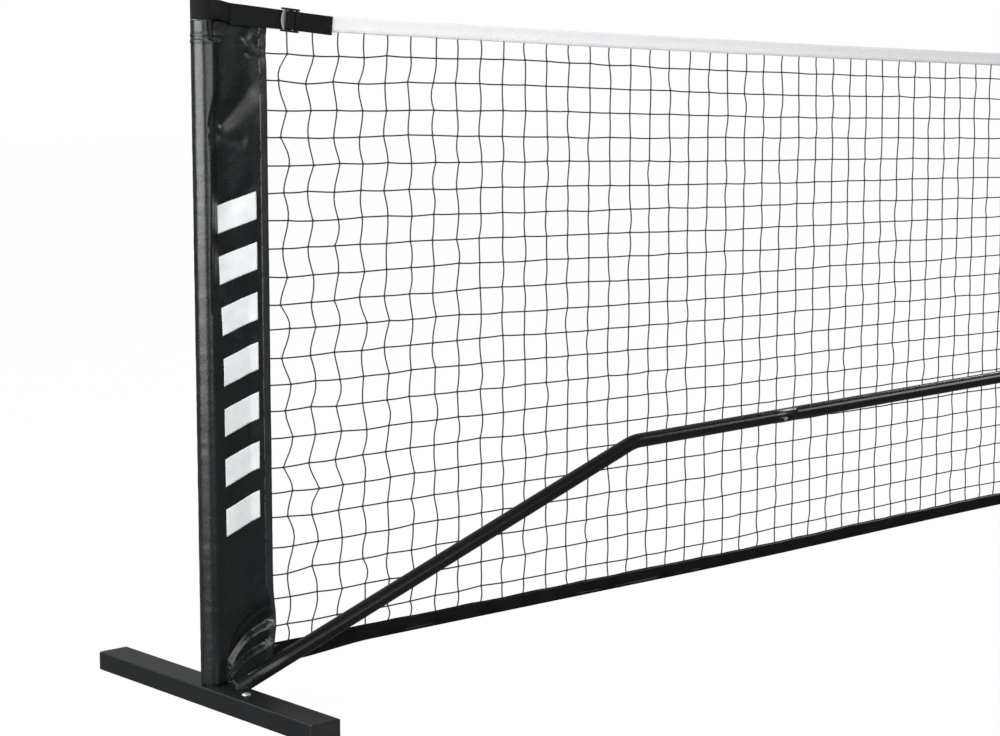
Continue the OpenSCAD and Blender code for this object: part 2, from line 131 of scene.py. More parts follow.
TUBE_R = 11 * MM
TUBE_WALL = 1.2 * MM
BEND = Vector((0.752, TUBE_Y, 0.277))
LEG_SLOPE = math.radians(18.8)
RUN_SLOPE = math.radians(1.2)
LEG_START = 0.030            # where the bent tube starts, from the post's axis
JOINT_A = 0.370              # the three tube joints, from the bend's corner
JOINT_B = 1.490
JOINT_C = (HALF_SPAN - BEND.x) / math.cos(RUN_SLOPE) - 0.030
BUTTON_DIP = math.radians(25)   # how far below the horizontal the tubes' buttons point
BUTTON_INSET = 0.030         # from a joint back to its button
BUTTON_HOLE_R = 4.0 * MM
BEND_R = 0.090               # radius of the bend, at the tube's axis


def tape_top(x):
    mid = TAPE_LOW.z + TAPE_H
    return mid + (TAPE_HIGH.z - mid) * (x / NET_REACH) ** 2


def hem_low(x):
    return HEM_LOW.z + HEM_RISE * smooth((HALF_SPAN - np.abs(x) - HEM_RISE_FROM) / HEM_RISE_LEN)


def to_row(points, side):
    """Points of one end's own frame, in the row frame."""
    points = np.array(points, float)
    sign = -1 if side == "left" else 1
    points[..., 0] = sign * (HALF_SPAN - points[..., 0])
    return points


def smooth(t):
    t = np.clip(t, 0, 1)
    return t * t * (3 - 2 * t)


def unit(vectors):
    return vectors / np.maximum(np.linalg.norm(vectors, axis=-1, keepdims=True), 1e-12)


def lengths_along(points):
    """How far along a line each of its points is."""
    return np.concatenate([[0], np.cumsum(np.linalg.norm(np.diff(points, axis=0), axis=1))])


def at_lengths(values, steps, at):
    """Values given at the points of a line, read off at other lengths along it."""
    return np.stack([np.interp(at, steps, column) for column in values.T], -1)


def uv_pairs(u, v):
    return np.stack(np.broadcast_arrays(u, v), -1)


def angles_round(sides):
    return np.arange(sides) * 2 * np.pi / sides


def facing(sign, count):
    """For each point of a line, the direction out of the net's back (1) or its front (-1)."""
    return np.tile([0.0, float(sign), 0.0], (count, 1))


# ---- value noise, the same on every run ----

NOISE_SIZE = 64


def noise2(u, v, seed):
    """Smooth noise between -1 and 1 of two coordinates."""
    table = np.random.default_rng(seed).uniform(-1, 1, (NOISE_SIZE, NOISE_SIZE))
    iu, iv = np.floor(u).astype(int), np.floor(v).astype(int)
    fu, fv = smooth(u - iu), smooth(v - iv)
    low, high = [table[(iu + step) % NOISE_SIZE, iv % NOISE_SIZE] for step in (0, 1)]
    low_next, high_next = [table[(iu + step) % NOISE_SIZE, (iv + 1) % NOISE_SIZE] for step in (0, 1)]
    return (low * (1 - fu) + high * fu) * (1 - fv) + (low_next * (1 - fu) + high_next * fu) * fv


# ---- meshes ----

def mesh_object(name, points, faces, uvs=None):
    """An object from points (n, 3), faces as arrays or lists, and one (u, v) per point."""
    mesh = bpy.data.meshes.new(name)
    faces = faces.tolist() if isinstance(faces, np.ndarray) else faces
    mesh.from_pydata(np.asarray(points, float).reshape(-1, 3).tolist(), [], faces)
    if uvs is not None:
        loops = np.zeros(len(mesh.loops), np.int32)
        mesh.loops.foreach_get("vertex_index", loops)
        layer = mesh.uv_layers.new(name="UVMap")
        layer.data.foreach_set("uv", np.asarray(uvs, np.float32).reshape(-1, 2)[loops].ravel())
    mesh.polygons.foreach_set("use_smooth", [True] * len(mesh.polygons))
    mesh.validate()
    mesh.update()
    return linked(name, mesh)


def linked(name, data):
    """An object with this data, in the scene."""
    obj = bpy.data.objects.new(name, data)
    bpy.context.scene.collection.objects.link(obj)
    return obj


def faced_outward(obj):
    mesh = bmesh.new()
    mesh.from_mesh(obj.data)
    bmesh.ops.recalc_face_normals(mesh, faces=mesh.faces[:])
    mesh.to_mesh(obj.data)
    mesh.free()
    return obj


def finish_piece(obj, material, body=None):
    obj.data.materials.clear()
    obj.data.materials.append(material)
    if body:
        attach(obj, body)
    return obj


def grid_faces(rows, cols, offset=0, close_rows=False, close_cols=False, flip=False):
    """Quads of a grid of points numbered row by row."""
    r = np.arange(rows if close_rows else rows - 1)
    c = np.arange(cols if close_cols else cols - 1)
    r, c = [a.ravel() for a in np.meshgrid(r, c, indexing="ij")]
    r1, c1 = (r + 1) % rows, (c + 1) % cols
    quads = np.stack([r * cols + c, r * cols + c1, r1 * cols + c1, r1 * cols + c], 1) + offset
    return quads[:, ::-1] if flip else quads


def surface_normals(grid):
    return unit(np.cross(np.gradient(grid, axis=1), np.gradient(grid, axis=0)))


def closed_sheet(name, outer, inner, uvs, flip=False):
    """A sheet from its two surfaces, each a grid of points (rows, cols, 3), closed at its rims."""
    rows, cols = outer.shape[:2]
    count = rows * cols
    index = np.arange(count).reshape(rows, cols)
    faces = [grid_faces(rows, cols), grid_faces(rows, cols, count, flip=True)]
    for line in (index[0, :], index[:, -1], index[-1, ::-1], index[::-1, 0]):
        a, b = line[:-1], line[1:]
        faces.append(np.stack([b, a, a + count, b + count], 1))
    faces = np.concatenate(faces)
    points = np.concatenate([outer.reshape(-1, 3), inner.reshape(-1, 3)])
    both_uvs = np.concatenate([uvs.reshape(-1, 2)] * 2)
    return mesh_object(name, points, faces[:, ::-1] if flip else faces, both_uvs)


def shell(name, outer, thickness, uvs, flip=False):
    """A closed sheet from its outer surface and its thickness."""
    inner = outer - surface_normals(outer) * thickness * (-1 if flip else 1)
    return closed_sheet(name, outer, inner, uvs, flip)


def tube_points(lines, radius, e1, e2, sides):
    """Rings about many lines (count, length, 3): points (count, length, sides, 3)."""
    angle = angles_round(sides)[:, None]
    ring = np.cos(angle) * np.array(e1) + np.sin(angle) * np.array(e2)
    return lines[:, :, None, :] + radius * ring


def tube_faces(count, length, sides, offset=0):
    """Quads along and round each tube, with a face over each end."""
    one = grid_faces(length, sides, close_cols=True)
    step = length * sides
    walls = one[None] + (np.arange(count) * step)[:, None, None] + offset
    caps = []
    for i in range(count):
        first = offset + i * step
        last = first + (length - 1) * sides
        caps.append(list(range(first + sides - 1, first - 1, -1)))
        caps.append(list(range(last, last + sides)))
    return walls.reshape(-1, 4).tolist() + caps


def joined(name, parts):
    """One object from several."""
    for o in bpy.context.scene.objects:
        o.select_set(False)
    for o in parts:
        o.select_set(True)
    bpy.context.view_layer.objects.active = parts[0]
    bpy.ops.object.join()
    parts[0].name = name
    parts[0].data.name = name
    return parts[0]


FILLET_STEPS = 5


def filleted(corners):
    """A plane path through corners, each (x, y, radius), with the corners rounded."""
    path = [np.array(corners[0][:2], float)]
    for before, at, after in zip(corners, corners[1:], corners[2:]):
        p = np.array(at[:2], float)
        d1 = p - np.array(before[:2], float)
        d2 = np.array(after[:2], float) - p
        d1, d2 = d1 / np.linalg.norm(d1), d2 / np.linalg.norm(d2)
        turn = math.acos(np.clip(d1 @ d2, -1, 1))
        side = np.sign(d1[0] * d2[1] - d1[1] * d2[0])
        radius = at[2]
        tangent = radius * math.tan(turn / 2)
        start = p - d1 * tangent
        centre = start + side * radius * np.array([-d1[1], d1[0]])
        from_centre = start - centre
        for i in range(FILLET_STEPS + 1):
            a = side * turn * i / FILLET_STEPS
            c, s = math.cos(a), math.sin(a)
            path.append(centre + np.array([from_centre[0] * c - from_centre[1] * s,
                                           from_centre[0] * s + from_centre[1] * c]))
    path.append(np.array(corners[-1][:2], float))
    return np.array(path)


# ---- materials ----

def add_node(tree, kind, inputs=(), **settings):
    """A shader node. inputs holds values or other nodes' outputs, by the socket's name or number."""
    node = tree.nodes.new(kind)
    for key, value in settings.items():
        setattr(node, key, value)
    for key, value in dict(inputs).items():
        if isinstance(value, bpy.types.NodeSocket):
            tree.links.new(value, node.inputs[key])
        else:
            node.inputs[key].default_value = value
    return node


class Finish:
    """A Principled material whose colour, roughness and relief are built up from textures."""

    def __init__(self, name, metallic=0.0, specular=0.5, sheen=0.0):
        self.material = bpy.data.materials.new(name)
        self.material.use_nodes = True
        self.tree = self.material.node_tree
        self.shader = self.tree.nodes["Principled BSDF"]
        self.shader.inputs["Metallic"].default_value = metallic
        self.shader.inputs["Specular IOR Level"].default_value = specular
        self.shader.inputs["Sheen Weight"].default_value = sheen
        self.normal = None

    def add(self, kind, inputs=(), output=0, **settings):
        return add_node(self.tree, kind, inputs, **settings).outputs[output]

    def coordinates(self, source, scale=(1, 1, 1)):
        at = self.add("ShaderNodeTexCoord", output=source)
        return self.add("ShaderNodeMapping", {"Vector": at, "Scale": scale})

    def noise(self, at, scale, detail=3.0, rough=0.55):
        inputs = {"Vector": at, "Scale": scale, "Detail": detail, "Roughness": rough}
        return self.add("ShaderNodeTexNoise", inputs, "Fac")

    def bands(self, at, scale, direction="X", distortion=0.0):
        inputs = {"Vector": at, "Scale": scale, "Distortion": distortion, "Detail": 1.0}
        return self.add("ShaderNodeTexWave", inputs, "Fac", wave_type="BANDS", bands_direction=direction)

    def calculated(self, operation, a, b):
        return self.add("ShaderNodeMath", {0: a, 1: b}, operation=operation)

    def mixed(self, a, b, share):
        return self.calculated("ADD", self.calculated("MULTIPLY", a, share),
                               self.calculated("MULTIPLY", b, 1 - share))

    def colour(self, value, low, high, stops=(0.35, 0.65)):
        ramp = add_node(self.tree, "ShaderNodeValToRGB", {"Fac": value})
        for stop, at, shade in zip(ramp.color_ramp.elements, stops, (low, high)):
            stop.position = at
            stop.color = (*shade, 1)
        self.tree.links.new(ramp.outputs["Color"], self.shader.inputs["Base Color"])

    def roughness(self, value, low, high):
        spread = self.add("ShaderNodeMapRange", {"Value": value, "To Min": low, "To Max": high})
        self.tree.links.new(spread, self.shader.inputs["Roughness"])

    def relief(self, height, distance, strength=1.0):
        inputs = {"Height": height, "Distance": distance, "Strength": strength}
        if self.normal is not None:
            inputs["Normal"] = self.normal
        self.normal = self.add("ShaderNodeBump", inputs)
        self.tree.links.new(self.normal, self.shader.inputs["Normal"])
        return self.material


def coated_steel(name, low, high, rough=(0.3, 0.42)):
    """Satin powder coat: fine orange peel, faint handling marks."""
    f = Finish(name, specular=0.36)
    at = f.coordinates("Object")
    scuffs = f.noise(f.coordinates("Object", (14, 60, 60)), 5, 6, 0.7)
    f.colour(f.mixed(f.noise(at, 9, 4), scuffs, 0.6), low, high)
    f.roughness(scuffs, *rough)
    return f.relief(f.noise(at, 900, 2), 0.025 * MM)


def moulded_plastic(name, low, high, rough=(0.38, 0.55)):
    f = Finish(name, specular=0.45)
    at = f.coordinates("Object")
    f.colour(f.noise(at, 60, 4), low, high)
    f.roughness(f.noise(at, 220), *rough)
    return f.relief(f.noise(at, 1500, 2), 0.05 * MM)


def bright_steel(name, low, high, rough=(0.22, 0.4)):
    f = Finish(name, metallic=1.0)
    brushed = f.noise(f.coordinates("Object", (40, 40, 4)), 120, 4)
    f.colour(f.noise(f.coordinates("Object"), 300), low, high)
    f.roughness(brushed, *rough)
    return f.relief(brushed, 0.03 * MM)


def vinyl_cloth(name, low, high, rough=(0.2, 0.34), specular=0.55):
    """Vinyl-coated cloth: a faint woven base under a glossy skin."""
    f = Finish(name, specular=specular)
    at = f.coordinates("UV")
    f.colour(f.noise(at, 22, 5, 0.6), low, high)
    f.roughness(f.noise(at, 70, 4), *rough)
    f.relief(f.noise(at, 60, 5, 0.62), 1.2 * MM, 0.35)
    weave = f.calculated("ADD", f.bands(at, 380, "X"), f.bands(at, 380, "Y"))
    return f.relief(weave, 0.04 * MM, 0.4)


def woven(name, low, high, threads, depth, sheen, specular=0.28):
    """Cloth with visible threads, so many per metre over two pi."""
    f = Finish(name, specular=specular, sheen=sheen)
    at = f.coordinates("UV")
    weave = f.calculated("MULTIPLY", f.bands(at, threads, "X", 0.4), f.bands(at, threads, "Y", 0.4))
    dust = f.noise(at, 90, 5, 0.65)
    f.colour(f.mixed(weave, dust, 0.45), low, high, (0.2, 0.75))
    f.roughness(dust, 0.55, 0.75)
    return f.relief(weave, depth)


def twisted_cord(name, low, high, specular=0.35):
    """Thin laid cord: strands wind round it. UV: u goes round, v runs along in metres."""
    f = Finish(name, specular=specular)
    strands = f.bands(f.coordinates("UV", (1, 350, 1)), 0.55, "DIAGONAL")
    f.colour(strands, low, high, (0.1, 0.9))
    f.roughness(strands, 0.45, 0.65)
    return f.relief(strands, 0.2 * MM, 0.6)


def print_ink(name, low, high):
    f = Finish(name, specular=0.4)
    at = f.coordinates("UV")
    f.colour(f.noise(at, 40, 5), low, high)
    f.roughness(f.noise(at, 90), 0.3, 0.45)
    return f.relief(f.noise(at, 500), 0.06 * MM)


BLACK_COAT = (0.0034, 0.0042, 0.0047), (0.0066, 0.0075, 0.0082)
POWDER = coated_steel("powder_coat", *BLACK_COAT, (0.33, 0.42))
TUBE_COAT = coated_steel("tube_coat", *BLACK_COAT, (0.22, 0.3))
POST_COAT = coated_steel("post_coat", (0.006, 0.007, 0.0075), (0.011, 0.012, 0.0125))
WELD = coated_steel("weld_coat", (0.008, 0.009, 0.01), (0.014, 0.015, 0.016), (0.35, 0.5))
BUTTON = bright_steel("button_steel", (0.62, 0.63, 0.64), (0.76, 0.77, 0.78), (0.42, 0.55))
SPRING = bright_steel("spring_steel", (0.34, 0.35, 0.36), (0.46, 0.47, 0.48))
CABLE = bright_steel("cable_steel", (0.3, 0.31, 0.32), (0.4, 0.41, 0.42), (0.3, 0.5))
CAP = moulded_plastic("cap_plastic", (0.009, 0.0095, 0.01), (0.015, 0.0155, 0.016))
BUCKLE = moulded_plastic("buckle_plastic", (0.005, 0.0055, 0.006), (0.009, 0.0095, 0.0102), (0.25, 0.36))
# the lip's light grey is a painted highlight on the black lock, not the plastic's own colour
LIP = moulded_plastic("buckle_lip_painted_highlight", (0.2, 0.205, 0.21), (0.3, 0.305, 0.31), (0.25, 0.35))
VINYL = vinyl_cloth("vinyl", (0.0035, 0.0048, 0.0054), (0.0075, 0.0092, 0.01), specular=0.5)
BINDING = vinyl_cloth("vinyl_binding", (0.009, 0.0105, 0.0115), (0.016, 0.018, 0.019), (0.26, 0.38))
HEM_VINYL = vinyl_cloth("hem_vinyl", (0.0025, 0.003, 0.003), (0.006, 0.0065, 0.0065), (0.14, 0.26), 0.24)
WEBBING = woven("webbing", (0.0018, 0.0023, 0.0026), (0.0058, 0.0066, 0.0071), 330, 0.22 * MM, 0.02, 0.16)
TAPE = woven("white_tape", (0.78, 0.785, 0.8), (0.9, 0.9, 0.91), 420, 0.08 * MM, 0.1)
THREAD = twisted_cord("thread", (0.004, 0.0045, 0.005), (0.010, 0.011, 0.012), 0.12)
WHITE_THREAD = twisted_cord("white_thread", (0.62, 0.63, 0.64), (0.8, 0.8, 0.81))
NET_CORD = twisted_cord("net_cord", (0.012, 0.012, 0.013), (0.034, 0.034, 0.036))
HEM_CORD = twisted_cord("hem_cord", (0.015, 0.015, 0.016), (0.035, 0.035, 0.037))
INK = print_ink("white_print", (0.74, 0.755, 0.765), (0.83, 0.84, 0.85))


# ---- the frame's own parts get their finishes ----

FINISHES = {
    "powder_coat": POWDER, "post_coat": POST_COAT, "snap_button": BUTTON, "spring_steel": SPRING,
    "cap_plastic": CAP, "buckle_plastic": BUCKLE, "vinyl": VINYL, "webbing": WEBBING,
    "net_cord": NET_CORD, "white_tape": TAPE, "cable": CABLE, "hem_cord": HEM_CORD,
}
for part in frame["record"]["subparts"]:
    is_tube = part["node"].startswith(("tube_long", "tube_inner"))
    obj = frame["nodes"][part["node"]]
    obj.data.materials.clear()
    obj.data.materials.append(TUBE_COAT if is_tube else FINISHES[part["material_slot"]])


# ---- the net ----

CORD_SIDES = 5
COLUMN_STEPS, ROW_STEPS = 4, 3                 # steps of a cord from one knot to the next
KNOT_GIRTH = (0.45, 1.0, 0.95, 0.4)            # of a knot's rings, from one end to the other
KNOT_SIZE = np.array([1.9, 2.1, 1.4]) * MM     # half of a knot across, up and through
KNOT_UV = (0.3, 0.001)                         # one place of the cord's texture for all knots
GATHERED_COLUMNS = 5.0       # how many columns beside a sleeve are gathered
ROW_LEAN = (2.2 * MM, 7.2 * MM)     # least and most that a gathered row leans
DIP_REACH = 0.21             # how far from a sleeve the first row hangs lower
CORD_IN = 1.5 * MM           # how far the cords reach into the tape and the hem


def knot_places(rng):
    """Knots as an array (rows, columns, 3). Each row leans one way near the sleeves, where the
    net is gathered, and the lean dies out towards the middle."""
    column = np.arange(1, CELLS)
    row = np.arange(ROWS)[:, None]
    x = -HALF_SPAN + FIRST_COLUMN + column * PITCH
    low = hem_low(x) + HEM_H + LAST_ROW_UP
    dip = FIRST_ROW_DIP * np.exp(-((HALF_SPAN - np.abs(x) - PANEL_REACH) / DIP_REACH) ** 2)
    high = tape_top(x) - TAPE_H - FIRST_ROW_DROP - dip
    share = row / (ROWS - 1)
    from_end = np.minimum(column, CELLS - column) - 1
    gathered = np.exp(-(from_end / GATHERED_COLUMNS) ** 1.3)
    lean = rng.uniform(*ROW_LEAN, (ROWS, 1)) * np.where(row % 2 == 0, 1, -1)
    x = x + lean * gathered * np.where(x < 0, 1, -1)
    x = x + rng.normal(0, 1.0 * MM, x.shape) * (1 + 0.8 * gathered)
    wave = noise2(column * 0.19 + row * 7.3, row * 3.1, 5)
    z = high * (1 - share) + low * share + 1.6 * MM * wave
    z = z + rng.normal(0, 0.45 * MM, z.shape) * (1 + 1.5 * gathered)
    y = rng.normal(0, 0.3 * MM, z.shape)
    return np.stack([x, y, z], 2)


def column_lines(knots, rng):
    """Cords down the net (columns, length, 3). They leave each knot nearly upright and bow."""
    top, bottom = knots[:1].copy(), knots[-1:].copy()
    top[..., 2] = tape_top(top[..., 0]) - TAPE_H + CORD_IN
    bottom[..., 2] = hem_low(bottom[..., 0]) + HEM_H - CORD_IN
    top[..., 0] += rng.normal(0, 1.2 * MM, top[..., 0].shape)
    bottom[..., 0] += rng.normal(0, 1.2 * MM, bottom[..., 0].shape)
    stops = np.concatenate([top, knots, bottom])
    count = stops.shape[1]
    from_end = np.minimum(np.arange(count), count - 1 - np.arange(count))
    gathered = np.exp(-from_end / (GATHERED_COLUMNS + 1))
    lines = []
    for a, b in zip(stops[:-1], stops[1:]):
        bow = rng.normal(0, 1.0 * MM, count) * (1 + 1.3 * gathered)
        out = rng.normal(0, 0.5 * MM, count)
        for i in range(COLUMN_STEPS):
            t = i / COLUMN_STEPS
            ease = 0.45 * t + 0.55 * smooth(t)
            p = a * (1 - t) + b * t
            p[:, 0] = a[:, 0] + (b[:, 0] - a[:, 0]) * ease + bow * math.sin(math.pi * t)
            p[:, 1] += out * math.sin(math.pi * t)
            lines.append(p)
    lines.append(stops[-1])
    return np.stack(lines, 1)


def row_lines(knots, rng):
    """Cords along the net (rows, length, 3)."""
    ends = []
    for index, reach in ((0, -1), (-1, 1)):
        end = knots[:, index].copy()
        end[:, 0] = reach * (HALF_SPAN - PANEL_REACH + 3 * MM)
        end[:, 1] = 0
        end[:, 2] += rng.normal(1.2 * MM, 0.8 * MM, ROWS)
        ends.append(end[:, None])
    stops = np.concatenate([ends[0], knots, ends[1]], 1)
    lines = []
    for c in range(stops.shape[1] - 1):
        a, b = stops[:, c], stops[:, c + 1]
        sag = np.abs(rng.normal(0.25 * MM, 0.3 * MM, ROWS))
        for i in range(ROW_STEPS):
            t = i / ROW_STEPS
            p = a * (1 - t) + b * t
            p[:, 2] -= sag * math.sin(math.pi * t)
            lines.append(p)
    lines.append(stops[:, -1])
    return np.stack(lines, 1)


def knot_lumps(knots, rng):
    """The knots themselves: small turned lumps, as points (rows, columns, points of a lump, 3)."""
    height = np.linspace(-1, 1, len(KNOT_GIRTH))
    lump = np.array([(g * math.cos(a), h, g * math.sin(a))
                     for h, g in zip(height, KNOT_GIRTH) for a in angles_round(CORD_SIDES)]) * KNOT_SIZE
    turn = rng.normal(0.7, 0.25, knots.shape[:2]) * rng.choice([-1, 1], knots.shape[:2])
    c, s = np.cos(turn)[..., None], np.sin(turn)[..., None]
    x = lump[:, 0] * c - lump[:, 1] * s
    z = lump[:, 0] * s + lump[:, 1] * c
    y = np.broadcast_to(lump[:, 2], x.shape)
    return knots[:, :, None] + np.stack([x, y, z], -1)


def net_piece(name, columns, rows, lumps):
    points, faces, uvs = [], [], []
    offset = 0
    for lines, e1, e2, axis in ((columns, (1, 0, 0), (0, -1, 0), 2), (rows, (0, 0, -1), (0, 1, 0), 0)):
        rings = tube_points(lines, CORD_R, e1, e2, CORD_SIDES)
        faces += tube_faces(lines.shape[0], lines.shape[1], CORD_SIDES, offset)
        points.append(rings.reshape(-1, 3))
        length = np.abs(lines[:, :, axis] - lines[:, :1, axis])
        uvs.append(uv_pairs(np.arange(CORD_SIDES) / CORD_SIDES, length[..., None]).reshape(-1, 2))
        offset += rings.size // 3
    faces += tube_faces(lumps.shape[0] * lumps.shape[1], len(KNOT_GIRTH), CORD_SIDES, offset)
    points.append(lumps.reshape(-1, 3))
    uvs.append(np.tile(KNOT_UV, (lumps.size // 3, 1)))
    return mesh_object(name, np.concatenate(points), faces, np.concatenate(uvs))


def make_net():
    rng = np.random.default_rng(41)
    knots = knot_places(rng)
    columns = column_lines(knots, rng)
    rows = row_lines(knots, rng)
    lumps = knot_lumps(knots, rng)
    half = (CELLS - 1) // 2
    cut = rows.shape[1] // 2
    pieces = []
    for side, cols, run in (("left", slice(0, half), slice(0, cut + 1)),
                            ("right", slice(half, None), slice(cut, None))):
        obj = net_piece(f"net_{side}_half", columns[cols], rows[:, run], lumps[:, cols])
        pieces.append(finish_piece(obj, NET_CORD, NET_BODY))
    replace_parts(pieces[0], "net_mesh")


make_net()


# ---- stitching ----

STITCH_R = 0.28 * MM
STITCH_LEN, STITCH_GAP = 3.2 * MM, 1.4 * MM
STITCH_SIDES = 4


def stitches(line, out, length=STITCH_LEN, gap=STITCH_GAP):
    """Short threads laid along a line of points (n, 3), each dipping into the cloth at its ends.
    out is the direction away from the cloth at each point (n, 3)."""
    steps = lengths_along(line)
    starts = np.arange(0, steps[-1] - length, length + gap)
    share = np.array([0, 0.25, 0.75, 1])
    rise = np.array([-0.3, 0.75, 0.75, -0.3]) * STITCH_R
    at = starts[:, None] + share * length
    normal = unit(at_lengths(out, steps, at))
    centre = at_lengths(line, steps, at) + normal * rise[:, None]
    side = np.cross(unit(centre[:, -1:] - centre[:, :1]), normal)
    angle = angles_round(STITCH_SIDES)[:, None] + math.pi / STITCH_SIDES
    ring = np.cos(angle) * normal[:, :, None] + np.sin(angle) * side[:, :, None]
    points = centre[:, :, None] + ring * STITCH_R
    faces = tube_faces(len(starts), len(share), STITCH_SIDES)
    return mesh_object("seam", points, faces,
                       uv_pairs(np.arange(STITCH_SIDES) / STITCH_SIDES, at[:, :, None]))


# ---- top tape ----

SEAM_UP = 4.5 * MM           # from the tape's lower edge to its seams


def folded_outline(half_t, bulge, height, fold_h):
    """Outer outline of cloth folded over a cord, seen along the fold: a list of (y, drop) from the
    front's lower edge over the fold to the back's. bulge is the half thickness at the fold."""
    front = [(-half_t, height), (-half_t, height * 0.8), (-half_t, height * 0.6),
             (-half_t, fold_h + 3 * MM), (-(half_t + bulge) / 2, fold_h)]
    arc = [(-bulge * math.cos(a), bulge * (1 - math.sin(a)))
           for a in np.linspace(-0.25, math.pi + 0.25, 11)]
    back = [(-y, d) for y, d in reversed(front)]
    return np.array(front + arc + back)


def make_tape():
    outline = folded_outline(1.2 * MM, 2.3 * MM, TAPE_H, 6.5 * MM)
    stations = np.linspace(-NET_REACH, NET_REACH, 320)
    x = stations[:, None]
    y, drop = outline.T
    pucker = noise2(x * 18, x * 0, 11)
    lean = noise2(x * 3, x * 0 + 4.5, 12)
    low = smooth((drop - 8 * MM) / (14 * MM))
    y = y + (0.45 * pucker + 0.9 * lean) * MM * low
    z = tape_top(x) - drop - 0.35 * MM * pucker * low
    grid = np.stack(np.broadcast_arrays(x, y, z), 2)
    steps = lengths_along(outline)
    tape = shell("tape_cloth", grid, 0.75 * MM, uv_pairs(steps, x), flip=True)
    finish_piece(tape, TAPE, NET_BODY)
    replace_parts(tape, "top_tape")
    rows = []
    for index in (1, -2):
        line = np.stack([stations, grid[:, index, 1], tape_top(stations) - TAPE_H + SEAM_UP], 1)
        rows.append(stitches(line, facing(np.sign(outline[index, 0]), len(line))))
    seam = joined("tape_stitches", rows)
    finish_piece(seam, WHITE_THREAD, NET_BODY)


make_tape()


# ---- bottom hem ----

def make_hem():
    """Glossy vinyl folded up over the bottom cord, puckered where it is sewn to the net."""
    outline = folded_outline(1.3 * MM, 2.2 * MM, HEM_H, 7 * MM)
    stations = np.linspace(-NET_REACH, NET_REACH, 900)
    u, d = np.meshgrid(stations, outline[:, 1], indexing="ij")
    crease = noise2(u * 45 + d * 160, d * 60, 21)
    fold = noise2(u * 17 - d * 110, d * 30, 22)
    slow = noise2(u * 4, d * 0, 23)
    share = smooth(d / (5 * MM))
    x = u + 0.8 * MM * noise2(u * 40, d * 200, 24) * share
    puffed = 0.5 * np.maximum(crease, -0.2) + 1.2 * np.maximum(fold, -0.3)
    # the last few centimetres are crumpled where the hem meets the sleeves, and hang lower
    gathered = smooth((np.abs(u) - NET_REACH + 0.11) / 0.08)
    crumpled = 2.4 * np.maximum(noise2(u * 70 + d * 90, d * 110, 26), -0.3) * gathered
    stand = np.sign(outline[:, 0]) * (puffed + crumpled) + 1.5 * slow
    y = outline[:, 0] + stand * MM * share
    edge = 0.7 * MM * noise2(u * 30, d * 0, 25) * smooth((d - 15 * MM) / (7 * MM))
    droop = 7 * MM * smooth((np.abs(u) - NET_REACH + 0.17) / 0.14) * (1 - d / HEM_H)
    z = hem_low(u) + d * (1 - 0.25 * MM / HEM_H) + edge - droop
    grid = np.stack([x, y, z], 2)
    steps = lengths_along(outline)
    hem = shell("hem_cloth", grid, 0.6 * MM, uv_pairs(steps, stations[:, None]))
    finish_piece(hem, HEM_VINYL, NET_BODY)
    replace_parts(hem, "bottom_hem")
    rows = []
    for index in (1, -2):
        rows.append(stitches(grid[:, index], facing(np.sign(outline[index, 0]), len(stations))))
    seam = joined("hem_stitches", rows)
    finish_piece(seam, THREAD, NET_BODY)


make_hem()


# ---- sleeves ----

PANEL_Y = 1.0 * MM           # half thickness of the sleeve's flat panel
LOOSE_X = 66 * MM            # where the pocket's two layers meet, low down
FRONT_N, BACK_N = 100, 44    # points across the sleeve's front and back
EDGE_IN = 0.6 * MM           # how far the cloth's edge lies inside the binding's
PLEAT_Z = 0.757              # where the fold beside the post is pinched


def spread(points, count):
    """A path's points moved to be evenly spaced."""
    steps = lengths_along(points)
    return at_lengths(points, steps, np.linspace(0, steps[-1], count))


def full_pocket(ridge_x):
    """Half of the sleeve seen from above, from the panel's edge to the post's outer side. In front
    of the post the cloth leaves it and stands out to a fold at ridge_x before it drops to the
    panel."""
    r = SLEEVE_R
    leave = math.radians(106)
    tangent = np.array([r * math.cos(leave), -r * math.sin(leave)])
    stand = tangent[1] - (ridge_x - tangent[0]) * math.tan(leave - math.pi / 2)
    corners = [
        (PANEL_REACH - EDGE_IN, -PANEL_Y, 0), (ridge_x + 20 * MM, -PANEL_Y, 6 * MM),
        (ridge_x, stand, 2.2 * MM), (tangent[0], tangent[1], 0),
    ]
    arc = [(r * math.cos(a), -r * math.sin(a)) for a in np.linspace(leave, math.pi, 16)]
    return np.concatenate([filleted(corners), arc[1:]])


def loose_pocket():
    """The same half low down, where the cloth runs straight from the post to the panel."""
    leave = math.acos(SLEEVE_R / LOOSE_X)
    arc = [(SLEEVE_R * math.cos(a), -SLEEVE_R * math.sin(a)) for a in np.linspace(leave, math.pi, 24)]
    return np.concatenate([[(PANEL_REACH - EDGE_IN, -PANEL_Y), (LOOSE_X, -PANEL_Y)], arc])


def whole_outline(half):
    front, back = spread(half, FRONT_N), spread(half, BACK_N)[::-1][1:] * np.array([1, -1])
    points = np.concatenate([front, back])
    for _ in range(2):
        points[1:-1] = (points[:-2] + 2 * points[1:-1] + points[2:]) / 4
    return points


def ridge_place(z):
    """Where the fold beside the post stands, up the sleeve: it is pinched at a pleat."""
    x = 9 * MM * smooth((z - PLEAT_Z) / 0.055) - 4.5 * MM
    below = 4 * MM * smooth((PLEAT_Z - z) / 0.03) * smooth((z - 0.5) / 0.2)
    top = 8 * MM * smooth((z - 0.870) / 0.006)
    return x + below - top


def side_normals(path):
    """The direction to the left of a plane path at each of its points."""
    along = unit(np.gradient(path, axis=0))
    return np.stack([-along[:, 1], along[:, 0]], 1)


